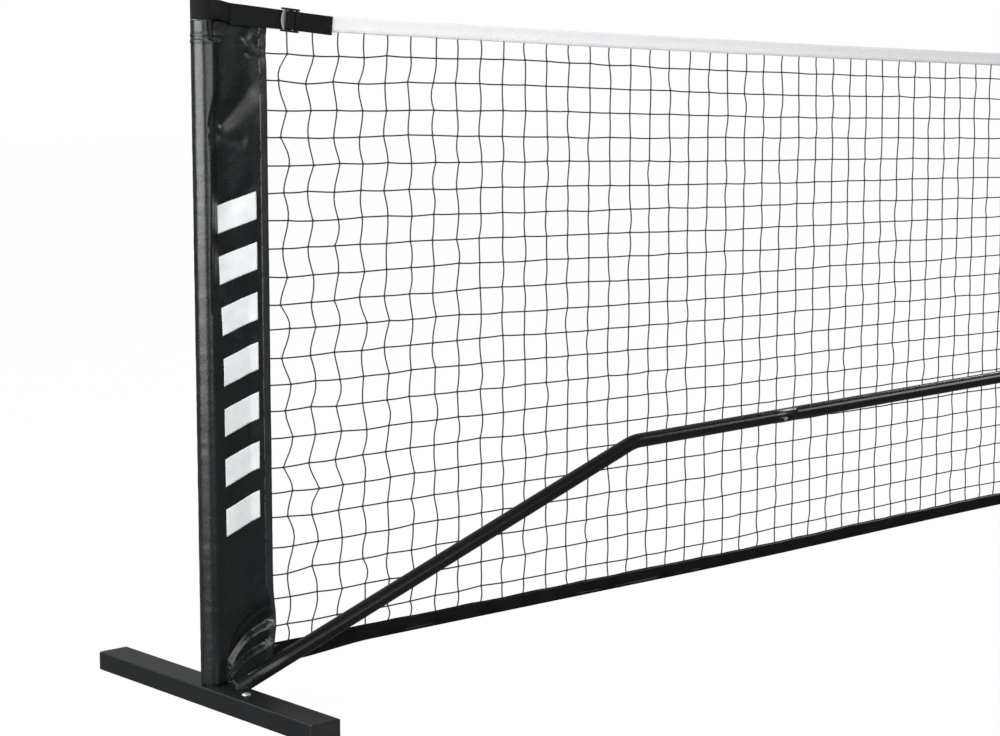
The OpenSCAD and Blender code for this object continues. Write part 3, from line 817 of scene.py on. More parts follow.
def ridge(x, z, start, bend, finish, width, height, widening=0.0, upper=None):
    """A fold in the cloth: a rounded ridge from start to finish, drawn towards bend on the way,
    fading at both ends. It grows wider by widening for each metre along it. upper is the width of its
    upper flank where that differs."""
    t = np.linspace(0, 1, 25)[:, None]
    a, b, c = [np.array(p, float) * MM for p in (start, bend, finish)]
    line = a * (1 - t) ** 2 + 2 * b * t * (1 - t) + c * t ** 2
    away = np.full(x.shape, 1.0)
    share = np.zeros(x.shape)
    above = np.zeros(x.shape, bool)
    for k, (p, q) in enumerate(zip(line[:-1], line[1:])):
        d = q - p
        s = np.clip(((x - p[0]) * d[0] + (z - p[1]) * d[1]) / (d @ d), 0, 1)
        gap = np.hypot(x - p[0] - s * d[0], z - p[1] - s * d[1])
        nearer = gap < away
        away = np.where(nearer, gap, away)
        above = np.where(nearer, d[0] * (z - p[1]) > d[1] * (x - p[0]), above)
        share = np.where(nearer, (k + s) / (len(line) - 1), share)
    fade = smooth(share / 0.15) * smooth((1 - share) / 0.2)
    length = lengths_along(line)[-1]
    w = np.where(above, upper or width, width) * MM + widening * share * length
    return height * MM * fade * np.exp(-(away / w) ** 2)


# Folds of the sleeve's front: start, the point the fold leans towards, and finish, in millimetres
# from the post's axis and the floor, then width and height in millimetres and how it widens.
CORNER_FOLDS = [
    ((17, 34), (34, 106), (106, 121), 2.6, 2.8, 0.02, 6.0),
    ((23, 40), (48, 90), (108, 99), 4.5, 10.0, 0.02, 20.0),
    ((12, 26), (38, 56), (106, 72), 3.6, 6.6, 0.02, 14.0),
]
TOP_FOLDS = [
    ((60, 884), (78, 864), (102, 858), 5.0, 1.7, 0.02, 8.0),
    ((60, 896), (84, 886), (102, 878), 3.0, 1.6, 0.02),
    ((66, 862), (82, 848), (102, 846), 4.5, 1.5, 0.03),
    ((72, 880), (84, 866), (96, 850), 3.6, -1.2, 0.0),
]
LONG_FOLDS = [
    ((22, 758), (46, 780), (84, 824), 7.5, 3.0, 0.10),
    ((16, 756), (40, 742), (70, 742), 4.5, 1.5, 0.08),
    ((18, 640), (50, 660), (86, 700), 8.0, 1.3, 0.05),
    ((20, 520), (50, 500), (80, 470), 9.0, 1.0, 0.05),
    ((20, 330), (50, 350), (88, 385), 9.0, 0.9, 0.05),
    ((18, 190), (50, 176), (80, 150), 8.0, 1.2, 0.05),
]
SEAM_Z = (879 * MM, 871 * MM)    # the two seams round the sleeve's top


def sleeve_relief(x, z, layer, seed):
    """How far the cloth stands off its plain shape. layer is -1 on the front, 1 on the back and
    between them round the post."""
    # the back layer follows the front one, so it is pushed in where the front stands out
    sign = np.clip(-layer, 0, 1) - 0.85 * np.clip(layer, 0, 1)
    on_panel = smooth((x - 12 * MM) / (14 * MM))
    height = sum(ridge(x, z, *f) for f in CORNER_FOLDS + TOP_FOLDS + LONG_FOLDS)
    height = height + 2.0 * MM * smooth((x - 14 * MM) / (40 * MM)) * smooth((0.14 - z) / 0.05)
    soft = noise2(z * 9 + x * 20, x * 26 - z * 7, seed)
    small = noise2(z * 48 + x * 30, x * 55, seed + 1)
    height = (height + (1.0 * soft + 0.22 * small) * MM) * sign * on_panel
    # the round part is wrinkled across and pinched where the webbing's hem and a pleat pull it in
    wrap = 1 - on_panel
    across = noise2(z * 120, x * 60 + layer * 2, seed + 2)
    calm = 0.35 + 0.65 * smooth((0.8 - z) / 0.1)
    height += 0.22 * across * MM * wrap * calm
    for seam_z in SEAM_Z:
        height -= 0.8 * MM * np.exp(-((z - seam_z) / (1.6 * MM)) ** 2) * (x < 30 * MM)
    sewn = smooth((PANEL_REACH - x) / (9 * MM))
    return height * (0.25 + 0.75 * sewn)


def panel_low(x):
    """Height of the sleeve's lower edge: level at the post, rising along the leg behind it."""
    return PANEL_LOW_IN + (PANEL_LOW_OUT - PANEL_LOW_IN) * np.clip((x - 0.045) / 0.055, 0, 1) ** 1.15


def edge_bulge(z):
    """The panel's outer edge stands out a little near its lower corner, and is drawn in above."""
    low = 5 * MM * np.exp(-((z - 0.095) / 0.03) ** 2)
    return low - 1.2 * MM * np.exp(-((z - 0.86) / 0.02) ** 2)


def sleeve_grid(seed):
    levels = np.concatenate([np.linspace(0, 0.15, 86), np.linspace(0.15, 0.84, 130)[1:],
                             np.linspace(0.84, 1, 70)[1:]])
    rise = PANEL_LOW_IN + (SLEEVE_TOP - PANEL_LOW_IN) * levels
    loose = whole_outline(loose_pocket())
    share = 1 - smooth((rise - 0.42) / 0.24)
    full = np.array([whole_outline(full_pocket(x)) for x in ridge_place(rise)])
    plain = full + (loose[None] - full) * share[:, None, None]
    out = -np.array([side_normals(row) for row in plain])
    x0 = plain[..., 0]
    low = panel_low(x0)
    z = low + (SLEEVE_TOP - low) * levels[:, None]
    turn = np.concatenate([np.linspace(-1, 0, FRONT_N), np.linspace(0, 1, BACK_N)[1:]])
    layer = np.clip(turn * 3.5, -1, 1)[None, :]
    height = sleeve_relief(x0, z, layer, seed)
    x = x0 + out[..., 0] * height + edge_bulge(z) * smooth(x0 / PANEL_REACH)
    y = plain[..., 1] + out[..., 1] * height
    steps = lengths_along(loose)
    return np.stack([x, y, z], 2), uv_pairs(steps, z), steps[-1]


def front_surface(grid, x, z):
    """y of the sleeve's front at points of the panel, where x is the same down each column."""
    front = grid[:, int(0.75 * FRONT_N)::-1]
    result = np.zeros(x.shape)
    for c in range(x.shape[1]):
        ys = [np.interp(x[0, c], row[:, 0], row[:, 1]) for row in front]
        zs = [np.interp(x[0, c], row[:, 0], row[:, 2]) for row in front]
        result[:, c] = np.interp(z[:, c], zs, ys)
    return result


PRINT_BARS = 7
PRINT_FROM, PRINT_TO = 0.232, 0.698
PRINT_X = (17 * MM, 80 * MM)
PRINT_SLANT = 17 * MM
PRINT_SHARE = 0.55           # how much of its pitch a bar takes up
BINDING_W = 11 * MM
MEASURED_LEVEL = 110         # the level of the sleeve at which the binding's width is measured


def print_block(name, grid, low, high, side):
    """One plain slanted block of ink on the panel, following its folds."""
    cols, rows = 40, 20
    s, t = np.meshgrid(np.linspace(0, 1, cols), np.linspace(0, 1, rows))
    x = PRINT_X[0] + (PRINT_X[1] - PRINT_X[0]) * s
    z = low + (high - low) * t + PRINT_SLANT * (s - 0.5)
    y = front_surface(grid, x, z) - 0.22 * MM
    patch = to_row(np.stack([x, y, z], 2), side)
    uvs = np.stack([x, z], 2)
    return shell(name, patch, 0.12 * MM, uvs, flip=side == "right")


def binding_strip(grid, seed):
    """The strip folded over the panel's outer edge, as a grid of points up it and across it."""
    front, back = grid[:, 0], grid[:, -1]
    z = front[:, 2]
    edge = (front[:, 0] + back[:, 0]) / 2

    def cloth_y(columns, x):
        return np.array([np.interp(at, row[columns, 0], row[columns, 1]) for at, row in zip(x, grid)])

    lines = []
    for dx in np.linspace(-BINDING_W, -1.5 * MM, 5):
        stand = 0.05 * MM + 0.45 * MM * (dx + BINDING_W) / BINDING_W
        lines.append((edge + dx, cloth_y(slice(11, None, -1), edge + dx) - stand))
    lines.append((edge + 0.9 * MM, front[:, 1] - 0.3 * MM))
    lines.append((edge + 1.5 * MM, (front[:, 1] + back[:, 1]) / 2))
    lines.append((edge + 0.9 * MM, back[:, 1] + 0.3 * MM))
    for dx in np.linspace(-1.5 * MM, -BINDING_W, 5):
        lines.append((edge + dx, cloth_y(slice(-6, None), edge + dx) + 0.55 * MM))
    strip = np.stack([np.stack([x, y, z], 1) for x, y in lines], 1)
    pucker = noise2(z * 150, z * 0, seed) * (0.3 + 1.2 * smooth((z - 0.78) / 0.08))
    strip[:, :, 1] += 0.45 * MM * pucker[:, None] * np.sign(strip[:, :, 1] - front[:, 1:2] - 1 * MM)
    return strip


def sleeve_seams(grid, strip, side):
    """Stitches along both faces of the binding and round the sleeve's top."""
    rows = []
    for column, sign in ((1, -1), (-2, 1)):
        line = strip[:, column] + np.array([0, sign * 0.1 * MM, 0])
        rows.append(stitches(to_row(line, side), facing(sign, len(line))))
    normals = surface_normals(grid) * np.array([1 if side == "left" else -1, 1, 1])
    for seam_z in SEAM_Z:
        level = int(np.argmin(np.abs(grid[:, FRONT_N // 2, 2] - seam_z)))
        rows.append(stitches(to_row(grid[level, 2:-2], side), normals[level, 2:-2]))
    return joined(f"sleeve_stitches_{side}", rows)


def sleeve_print(grid, side):
    """Plain slanted bars printed on the front."""
    pitch = (PRINT_TO - PRINT_FROM) / PRINT_BARS
    lows = [PRINT_FROM + i * pitch for i in range(PRINT_BARS)]
    bars = [print_block("bar", grid, low, low + PRINT_SHARE * pitch, side) for low in lows]
    return joined(f"sleeve_print_{side}", bars)


def make_sleeve(side, seed):
    grid, uvs, width = sleeve_grid(seed)
    cloth = shell(f"sleeve_cloth_{side}", to_row(grid, side), 0.55 * MM, uvs, flip=side == "left")
    finish_piece(cloth, VINYL, NET_BODY)
    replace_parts(cloth, f"sleeve_{side}")
    strip = binding_strip(grid, seed + 7)
    z = strip[:, 0, 2]
    steps = lengths_along(strip[MEASURED_LEVEL])
    binding = shell(f"sleeve_binding_{side}", to_row(strip, side), 0.5 * MM,
                    uv_pairs(steps, z[:, None]), flip=side == "right")
    finish_piece(binding, BINDING, NET_BODY)
    seam = finish_piece(sleeve_seams(grid, strip, side), THREAD, NET_BODY)
    printed = finish_piece(sleeve_print(grid, side), INK, NET_BODY)


for number, side_name in enumerate(SIDES):
    make_sleeve(side_name, 60 + 20 * number)


# ---- webbing ----

def strap_slope(side):
    """How steeply a strap falls away from its post, from the axis of its ladder lock."""
    axis = joint_named(f"ladder_lock_{side}_tilt")["axis"]
    return math.atan2(abs(axis[0]), abs(axis[2]))


STRAP_SLOPE = strap_slope("left")
STRAP_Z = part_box("post_strap_left")[1].z - WEB_W / 2
LOOP_R = POST_R + 1.0 * MM
# faces of the strap on its way to the ladder lock, on its way back and over the lock's bar
LOAD_Y, TAIL_Y, WRAP_Y = -3.0 * MM, -5.2 * MM, -9.4 * MM
TAIL_START = 40 * MM         # lengths along the strap start from the post's axis
TAIL_DROP = 3.2 * MM
WRAP_IN, WRAP_OUT = 128.6 * MM, 138.2 * MM
BENDS_FROM, BENDS_TO, BENDS_Y = 100 * MM, 140 * MM, -5 * MM     # where the strap follows its lock
HINGE_U, HINGE_Y, HINGE_R = 145.5 * MM, -6.2 * MM, 2 * MM
ANCHOR_Y, ANCHOR_END = -2.5 * MM, 206 * MM


LONGEST_STEP = 3 * MM


def refined(path):
    """The path with points added so that no step is too long to bend."""
    points = [path[0]]
    for a, b in zip(path[:-1], path[1:]):
        count = max(1, int(math.ceil(np.linalg.norm(b - a) / LONGEST_STEP)))
        points += [a + (b - a) * i / count for i in range(1, count + 1)]
    return np.array(points)


RIM_HEIGHTS = (0.15, 0.3, 0.44, 0.485, 0.5)    # from the webbing's middle to its rim, in widths
RIM_THICKNESS = (1, 1, 1, 0.8, 0.45)           # the webbing thins out at its rim


def ribbon(name, path, place, side, seed):
    """Webbing along a plane path. place turns (x, y, height) into the end's own frame."""
    path = refined(path)
    normal = side_normals(path)
    heights = np.array([-h for h in RIM_HEIGHTS[::-1]] + [0, *RIM_HEIGHTS]) * WEB_W
    half = WEB_T / 2 * np.array([*RIM_THICKNESS[::-1], 1, *RIM_THICKNESS])
    s, w = np.meshgrid(lengths_along(path), heights, indexing="ij")
    drift = 0.15 * MM * noise2(s * 40, w * 60, seed)
    layers = []
    for face in (1, -1):
        offset = face * half + drift
        x = path[:, :1] + normal[:, :1] * offset
        y = path[:, 1:] + normal[:, 1:] * offset
        layers.append(to_row(place(np.stack([x, y, w], 2)), side))
    return closed_sheet(name, *layers, np.stack([w, s], 2), flip=side == "right")


def sloped(u, y, w, share):
    """Points of the strap in the end's own frame, from the distance along it, the depth and the
    height across it: level where share is 0, on the strap's slope where it is 1."""
    angle = STRAP_SLOPE * share
    x = u + (u * np.cos(STRAP_SLOPE) - u) * share + w * np.sin(angle)
    z = STRAP_Z + w * np.cos(angle) - u * np.sin(STRAP_SLOPE) * share
    return np.stack([x, y, z], -1)


def on_slope(points):
    u, y, w = np.moveaxis(np.asarray(points, float), -1, 0)
    return sloped(u, y, w, np.ones_like(u))


def on_strap(points):
    """The loop round the post is level, and the strap falls away from it. Its loose end runs back
    below the part that carries the load."""
    u, y, w = np.moveaxis(points, -1, 0)
    tail = smooth((-y - 5.0 * MM) / (0.6 * MM)) * (u > 38 * MM)
    w = w - TAIL_DROP * tail * np.clip((WRAP_IN - u) / (WRAP_IN - TAIL_START), 0, 1)
    return sloped(u, y, w, smooth((u - 12 * MM) / (26 * MM)))


def arc_points(centre, radius, start, finish, count):
    angles = np.radians(np.linspace(start, finish, count))
    return np.stack([centre[0] + radius * np.cos(angles), centre[1] + radius * np.sin(angles)], 1)


def cross_stitch(name, u, w, y, side, place):
    """A sewn box with a cross in it. u and w are its two ends along and across the webbing."""
    corners = [(u[0], w[0]), (u[1], w[0]), (u[1], w[1]), (u[0], w[1]), (u[0], w[0])]
    lines = list(zip(corners, corners[1:])) + [(corners[0], corners[2]), (corners[1], corners[3])]
    rows = []
    for a, b in lines:
        flat = np.linspace(a, b, 6)
        line = to_row(place(np.insert(flat, 1, y, axis=1)), side)
        rows.append(stitches(line, facing(-1, len(line)), 2.6 * MM, 1.1 * MM))
    return joined(name, rows)


def make_strap(side, seed):
    half = WEB_T / 2
    loop_r = LOOP_R + half + 0.25 * MM
    meet = (39.6 * MM, LOAD_Y - half)
    loop = arc_points((0, 0), loop_r, 74, 290, 40)
    path = np.concatenate([
        [(meet[0], meet[1] + 1.2 * MM), (24 * MM, 3.6 * MM)],
        loop,
        filleted([
            (10 * MM, -12.2 * MM, 0), (22 * MM, -8.9 * MM, 9 * MM), (meet[0], meet[1], 12 * MM),
            (WRAP_OUT + half, LOAD_Y - half, 1.5 * MM), (WRAP_OUT + half, WRAP_Y - half, 1.6 * MM),
            (WRAP_IN + half, WRAP_Y - half, 1.6 * MM), (WRAP_IN + half, TAIL_Y - half, 1.5 * MM),
            (TAIL_START, TAIL_Y - half, 0),
        ]),
    ])
    strap = ribbon(f"strap_{side}", path, on_strap, side, seed)
    finish_piece(strap, WEBBING)
    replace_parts(strap, f"post_strap_{side}")
    length = float(lengths_along(path)[-1])
    start = to_row(on_slope([BENDS_FROM, BENDS_Y, 0]), side)
    end = to_row(on_slope([BENDS_TO, BENDS_Y, 0]), side)
    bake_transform(strap)


def rounded_block(name, x, y, z, corner, place, side):
    """A block between two ends along each axis, with rounded edges."""
    mesh = bmesh.new()
    bmesh.ops.create_cube(mesh, size=1)
    centre = [(a[0] + a[1]) / 2 for a in (x, y, z)]
    size = [abs(a[1] - a[0]) for a in (x, y, z)]
    for v in mesh.verts:
        v.co = Vector([c + s * k for c, s, k in zip(centre, size, v.co)])
    sharp = [e for e in mesh.edges if len(e.link_faces) == 2 and e.calc_face_angle() > 0.5]
    bmesh.ops.bevel(mesh, geom=sharp, offset=corner, segments=3, affect="EDGES", clamp_overlap=True)
    data = bpy.data.meshes.new(name)
    mesh.to_mesh(data)
    mesh.free()
    points = np.array([v.co for v in data.vertices])
    placed = to_row(place(points), side)
    for v, p in zip(data.vertices, placed):
        v.co = p
    if side == "right":
        data.flip_normals()
    data.update()
    return linked(name, data)


def round_bar(name, u, y, radius, half_w, side, place):
    """A round bar across the strap, with its ends' edges taken off."""
    sides, edge = 24, 0.4 * MM
    stops = ((-half_w, radius - edge), (edge - half_w, radius), (half_w - edge, radius),
             (half_w, radius - edge))
    grid = np.array([[(u + r * math.cos(a), y + r * math.sin(a), w) for a in angles_round(sides)]
                     for w, r in stops])
    return faced_outward(mesh_object(name, to_row(place(grid), side), tube_faces(1, len(stops), sides)))


def thumb_lip(side):
    """The curved tongue that is lifted to let the webbing slip, with ribs across it. Its grey colour is a
    painted highlight.
    """
    rows, cols = 9, 15
    t, k = np.meshgrid(np.linspace(0, 1, rows), np.linspace(-1, 1, cols), indexing="ij")
    near = 128.0 * MM
    far = 118.2 * MM + 3.8 * MM * k ** 2
    u = near + (far - near) * t
    w = k * 14.6 * MM * (1 - 0.1 * t ** 3)
    ribs = 0.35 * MM * np.sin(t * 11) ** 2 * (t > 0.15) * (t < 0.9)
    lift = 2.6 * MM * smooth(t) + ribs
    y = -7.3 * MM - lift
    outer = np.stack([u, y, w], 2)
    inner = outer + np.array([0, 1, 0]) * (1.3 * MM * (1 - 0.4 * t[..., None]))
    outer, inner = to_row(on_slope(outer), side), to_row(on_slope(inner), side)
    return closed_sheet(f"thumb_lip_{side}", outer, inner, np.stack([w, u], 2), flip=side == "right")


def make_ladder_lock(side):
    body = f"ladder_lock_{side}"
    rails = [rounded_block("rail", (119.5 * MM, 149 * MM), (-4.8 * MM, -9.6 * MM),
                           (sign * 13.1 * MM, sign * 15.6 * MM), 0.9 * MM, on_slope, side)
             for sign in (-1, 1)]
    cross = rounded_block("cross", (124.2 * MM, 127.9 * MM), (-7.1 * MM, -9.7 * MM),
                          (-13.6 * MM, 13.6 * MM), 0.8 * MM, on_slope, side)
    bar = rounded_block("bar", (131 * MM, 137 * MM), (-5.4 * MM, -8.9 * MM),
                        (-13.6 * MM, 13.6 * MM), 1.1 * MM, on_slope, side)
    hinge = round_bar("hinge", HINGE_U, HINGE_Y, HINGE_R, 15.4 * MM, side, on_slope)
    frame_part = joined(f"ladder_lock_body_{side}", rails + [cross, bar, hinge])
    finish_piece(frame_part, BUCKLE, body)
    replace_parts(frame_part, body)
    # the lip gets the light grey that paints the lock's highlight
    finish_piece(thumb_lip(side), LIP, body)


def make_anchor(side, seed):
    half = WEB_T / 2
    around = HINGE_R + 0.35 * MM + half
    inner_y, outer_y = ANCHOR_Y - half, ANCHOR_Y - half - WEB_T - 0.05 * MM
    loop = arc_points((HINGE_U, HINGE_Y), around, 84, 292, 20)
    path = np.concatenate([
        [(ANCHOR_END, inner_y), (152 * MM, inner_y)],
        loop,
        filleted([(148 * MM, -8.8 * MM, 0), (152.5 * MM, outer_y, 5 * MM), (ANCHOR_END, outer_y, 0)]),
    ])
    web = ribbon(f"anchor_web_{side}", path, on_slope, side, seed)
    finish_piece(web, WEBBING, NET_BODY)
    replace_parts(web, f"strap_anchor_{side}")
    box = cross_stitch(f"anchor_stitches_{side}", (172 * MM, 202 * MM), (-9.5 * MM, 9.5 * MM),
                       outer_y - half, side, on_slope)
    finish_piece(box, THREAD, NET_BODY)
    length = float(lengths_along(path)[-1])


def make_middle_strap():
    """A band from the tape's face round the middle post and back, sewn to the tape."""
    half = WEB_T / 2
    centre_y = middle_of("post_middle").y
    radius = (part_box("post_middle")[1].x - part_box("post_middle")[0].x) / 2 + 0.3 * MM + half
    low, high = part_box("strap_middle")
    flap_y = high.y - half
    reach = high.x
    turn = (40 * MM, flap_y)
    lean = math.degrees(math.acos(radius / math.hypot(turn[0], flap_y - centre_y)))
    towards = math.degrees(math.atan2(flap_y - centre_y, turn[0]))
    right = arc_points((0, centre_y), radius, towards - lean, -90, 16)
    left = right[::-1][1:] * np.array([-1, 1])
    path = np.concatenate([
        filleted([(reach, flap_y, 0), (turn[0], flap_y, 6 * MM), tuple(right[0]) + (0,)]),
        right[1:], left,
        filleted([tuple(left[-1]) + (0,), (-turn[0], flap_y, 6 * MM), (-reach, flap_y, 0)])[1:],
    ])
    mid_z = (low.z + high.z) / 2

    def place(points):
        return points + np.array([HALF_SPAN, 0, mid_z])

    web = ribbon("middle_strap_web", path, place, "left", 31)
    finish_piece(web, WEBBING, NET_BODY)
    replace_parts(web, "strap_middle")
    boxes = []
    for sign in (-1, 1):
        ends = sorted((sign * (turn[0] + 6 * MM), sign * (reach - 3 * MM)))
        boxes.append(cross_stitch("seam", ends, (-9.5 * MM, 9.5 * MM), flap_y - half, "left", place))
    seam = joined("middle_strap_stitches", boxes)
    finish_piece(seam, THREAD, NET_BODY)
    length = float(lengths_along(path)[-1])


for number, side_name in enumerate(SIDES):
    make_ladder_lock(side_name)
    make_strap(side_name, 91 + number)
    make_anchor(side_name, 95 + number)
make_middle_strap()


# ---- frame tubes ----

LEG = Vector((math.cos(LEG_SLOPE), 0, math.sin(LEG_SLOPE)))
RUN = Vector((math.cos(RUN_SLOPE), 0, math.sin(RUN_SLOPE)))
WELD_POINTS = 96


def bent_path():
    """The bent tube's axis: straight up the leg, a round bend, straight along the run."""
    turn = LEG_SLOPE - RUN_SLOPE
    tangent = BEND_R * math.tan(turn / 2)
    start = BEND - LEG * ((BEND.x - LEG_START) / LEG.x)
    before = BEND - LEG * tangent
    centre = before + Vector((LEG.z, 0, -LEG.x)) * BEND_R
    points = [start + (before - start) * t for t in np.linspace(0, 1, 12)]
    for t in np.linspace(0, 1, 13)[1:]:
        a = math.pi / 2 + LEG_SLOPE - turn * t
        points.append(centre + Vector((math.cos(a), 0, math.sin(a))) * BEND_R)
    after, end = points[-1], BEND + RUN * JOINT_A
    points += [after + (end - after) * t for t in np.linspace(0, 1, 8)[1:]]
    return np.array(points)


def bent_tube(side):
    path = bent_path()
    along = unit(np.gradient(path, axis=0))
    up = np.cross(along, facing(1, len(path)))
    sides = 64
    angle = angles_round(sides)
    lip = 0.25 * MM
    profile = [(0, TUBE_R - TUBE_WALL), (0, TUBE_R - lip)] + \
        [(i, TUBE_R) for i in range(len(path))] + \
        [(len(path) - 1, TUBE_R - lip), (len(path) - 1, TUBE_R - TUBE_WALL)]
    profile += [(i, TUBE_R - TUBE_WALL) for i in range(len(path) - 1, -1, -1)][1:-1]
    shift = {2: lip, len(path) + 1: -lip}
    rings = []
    for k, (i, r) in enumerate(profile):
        centre = path[i] + along[i] * shift.get(k, 0)
        ring = np.cos(angle)[:, None] * up[i] + np.sin(angle)[:, None] * np.array([0, 1, 0])
        rings.append(centre + r * ring)
    grid = to_row(np.array(rings), side)
    faces = grid_faces(len(rings), sides, close_rows=True, close_cols=True, flip=side == "left")
    v = np.concatenate([[0], np.cumsum([abs(b[0] - a[0]) for a, b in zip(profile, profile[1:])])])
    uvs = uv_pairs(angle * TUBE_R, v[:, None] * 0.05)
    tube = faced_outward(mesh_object(f"bent_tube_{side}", grid, faces, uvs))
    cut_button_hole(tube, side)
    finish_piece(tube, TUBE_COAT, FRAME_BODY)
    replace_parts(tube, f"tube_bent_{side}")


def cut_button_hole(tube, side):
    joint = joint_named(f"tube_button_outer_{side}_press")
    inward = Vector(joint["axis"]).normalized()
    centre = middle_of(f"tube_button_outer_{side}")
    bpy.ops.mesh.primitive_cylinder_add(vertices=32, radius=BUTTON_HOLE_R, depth=2 * TUBE_WALL + 6 * MM)
    cutter = bpy.context.object
    cutter.rotation_mode = "QUATERNION"
    cutter.rotation_quaternion = Vector((0, 0, 1)).rotation_difference(-inward)
    cutter.location = centre
    bpy.context.view_layer.update()
    cut = tube.modifiers.new("hole", "BOOLEAN")
    cut.operation, cut.object, cut.solver = "DIFFERENCE", cutter, "EXACT"
    bpy.context.view_layer.update()
    holed = bpy.data.meshes.new_from_object(tube.evaluated_get(bpy.context.evaluated_depsgraph_get()))
    tube.modifiers.clear()
    tube.data = holed
    bpy.data.objects.remove(cutter)


def weld_bead(name, line, radius, seed):
    """A rippled bead of weld along a closed line of points (n, 3)."""
    count, sides = len(line), 8
    along = unit(np.roll(line, -1, 0) - np.roll(line, 1, 0))
    out = line - line.mean(0)
    out = unit(out - along * (out * along).sum(1, keepdims=True))
    side = np.cross(along, out)
    angle = angles_round(sides)[:, None]
    station = np.arange(count)
    ripple = 1 + 0.16 * np.sin(station * np.pi / 2) + 0.12 * noise2(station * 0.35, station * 0, seed)
    ring = np.cos(angle) * out[:, None] + np.sin(angle) * side[:, None]
    grid = line[:, None] + ring * radius * ripple[:, None, None]
    faces = grid_faces(count, sides, close_rows=True, close_cols=True)
    finish_piece(faced_outward(mesh_object(name, grid, faces)), WELD, FRAME_BODY)


def leg_weld(side, seed):
    """Where the leg's socket meets the foot's side and top."""
    low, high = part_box(f"foot_front_{side}")
    half_w = (high.x - low.x) / 2
    base = BEND - LEG * (BEND.x / LEG.x)
    normal = Vector((-LEG.z, 0, LEG.x))
    points = []
    for a in angles_round(WELD_POINTS):
        rim = base + normal * (TUBE_R * math.cos(a)) + Vector((0, TUBE_R * math.sin(a), 0))
        to_side = (half_w - rim.x) / LEG.x
        to_top = (high.z - rim.z) / LEG.z
        points.append(rim + LEG * max(min(to_side, to_top), 0.010))
    points = to_row(np.array(points), side)
    for _ in range(3):
        points = (np.roll(points, 1, 0) + 2 * points + np.roll(points, -1, 0)) / 4
    weld_bead(f"leg_weld_{side}", points, 1.5 * MM, seed)


def tee_weld(side, seed):
    """Where a run of the tee meets its upright."""
    sign = -1 if side == "left" else 1
    run_z = BEND.z + math.tan(RUN_SLOPE) * (HALF_SPAN - BEND.x)
    points = []
    for a in angles_round(WELD_POINTS):
        dy, dz = TUBE_R * math.sin(a), TUBE_R * math.cos(a)
        dx = math.sqrt(POST_R ** 2 - dy ** 2)
        points.append((sign * (dx + 0.3 * MM), TUBE_Y + dy, run_z + dz - math.tan(RUN_SLOPE) * dx))
    weld_bead(f"tee_weld_{side}", np.array(points), 1.4 * MM, seed)


for number, side_name in enumerate(SIDES):
    bent_tube(side_name)
    leg_weld(side_name, 120 + number)
    tee_weld(side_name, 130 + number)


# ---- the springs under the snap buttons ----

CLIP_T = 0.6 * MM
CLIP_BUTTON_AT = 0.7         # where the button stands along its spring, as a share of its length
TUBE_CLIP_LEN, TUBE_CLIP_W, TUBE_CLIP_FOLD = 20 * MM, 6 * MM, 3 * MM
FOOT_CLIP_LEN, FOOT_CLIP_FOLD = 26 * MM, 5 * MM
NECK_INNER_R = 8.3 * MM      # bore of the neck the tubes' springs lie in
TUBE_CLIP_LOW = 0.1 * MM - math.sqrt(NECK_INNER_R ** 2 - (TUBE_CLIP_W / 2) ** 2)
TUBE_CLIP_HIGH = 4.9 * MM    # inner face of a tube button's flange, from the tube's axis


def clip_lines(length, top, fold_r):
    """Outer and inner outline of a spring folded to a V, seen from its side: a flat leg below, a
    fold at x = 0 and a leg that rises to the height top."""
    rise = math.atan((top - 2 * fold_r) / length)
    outlines = []
    for inset in (0, CLIP_T):
        r = fold_r - inset
        turn = [math.pi / 2 + rise + (math.pi - rise) * i / 12 for i in range(13)]
        fold = np.array([(r * math.cos(a), fold_r + r * math.sin(a)) for a in turn])
        share = np.linspace(0, 1, 13)[:, None]
        high = np.array([length, top - inset / math.cos(rise)]) * (1 - share) + fold[0] * share
        low = fold[-1] * (1 - share) + np.array([length, inset]) * share
        outlines.append(np.concatenate([high, fold[1:], low[1:]]))
    return outlines


def spring_clip(name, length, width, top, fold_r, place, side):
    """A leaf spring folded to a V under its button. place turns (along, across, up) into the end's own
    frame."""
    across = np.array([-0.5, -0.44, 0, 0.44, 0.5]) * width
    layers = []
    for line in clip_lines(length, top, fold_r):
        grid = np.array([[(x, w, z) for w in across] for x, z in line])
        layers.append(to_row(place(grid), side))
    steps = np.linspace(0, 2 * length, len(layers[0]))
    uvs = np.stack(np.meshgrid(across, steps), 2)
    clip = faced_outward(closed_sheet(name, *layers, uvs))
    finish_piece(clip, SPRING)
    low = to_row(place(np.array([length, 0, CLIP_T])), side)
    high = to_row(place(np.array([length, 0, top])), side)
    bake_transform(clip)
    return clip


def tube_clip(number, along, side):
    up = np.array([-RUN.z, 0, RUN.x])
    front = np.array([0, -1.0, 0])
    outward = front * math.cos(BUTTON_DIP) - up * math.sin(BUTTON_DIP)
    sideways = front * math.sin(BUTTON_DIP) + up * math.cos(BUTTON_DIP)
    start = along - CLIP_BUTTON_AT * TUBE_CLIP_LEN

    def place(points):
        x, w, z = points[..., :1], points[..., 1:2], points[..., 2:]
        return np.array(BEND) + np.array(RUN) * (start + x) + sideways * w + outward * (TUBE_CLIP_LOW + z)

    return spring_clip(f"spring_{number}_{side}", TUBE_CLIP_LEN,
                       TUBE_CLIP_W, TUBE_CLIP_HIGH - TUBE_CLIP_LOW, TUBE_CLIP_FOLD, place, side)


def foot_clip(end):
    """The spring under a foot's button, taken from the box of the middle one."""
    low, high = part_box("spring_clip_middle")
    shift = HALF_SPAN if end == "middle" else 0
    side = "left" if end == "middle" else end

    def place(points):
        x, w, z = points[..., :1], points[..., 1:2], points[..., 2:]
        return np.concatenate([w + shift, high.y - FOOT_CLIP_FOLD - x, low.z + z], -1)

    return spring_clip(f"spring_foot_{end}", FOOT_CLIP_LEN, high.x - low.x,
                       high.z - low.z, FOOT_CLIP_FOLD, place, side)


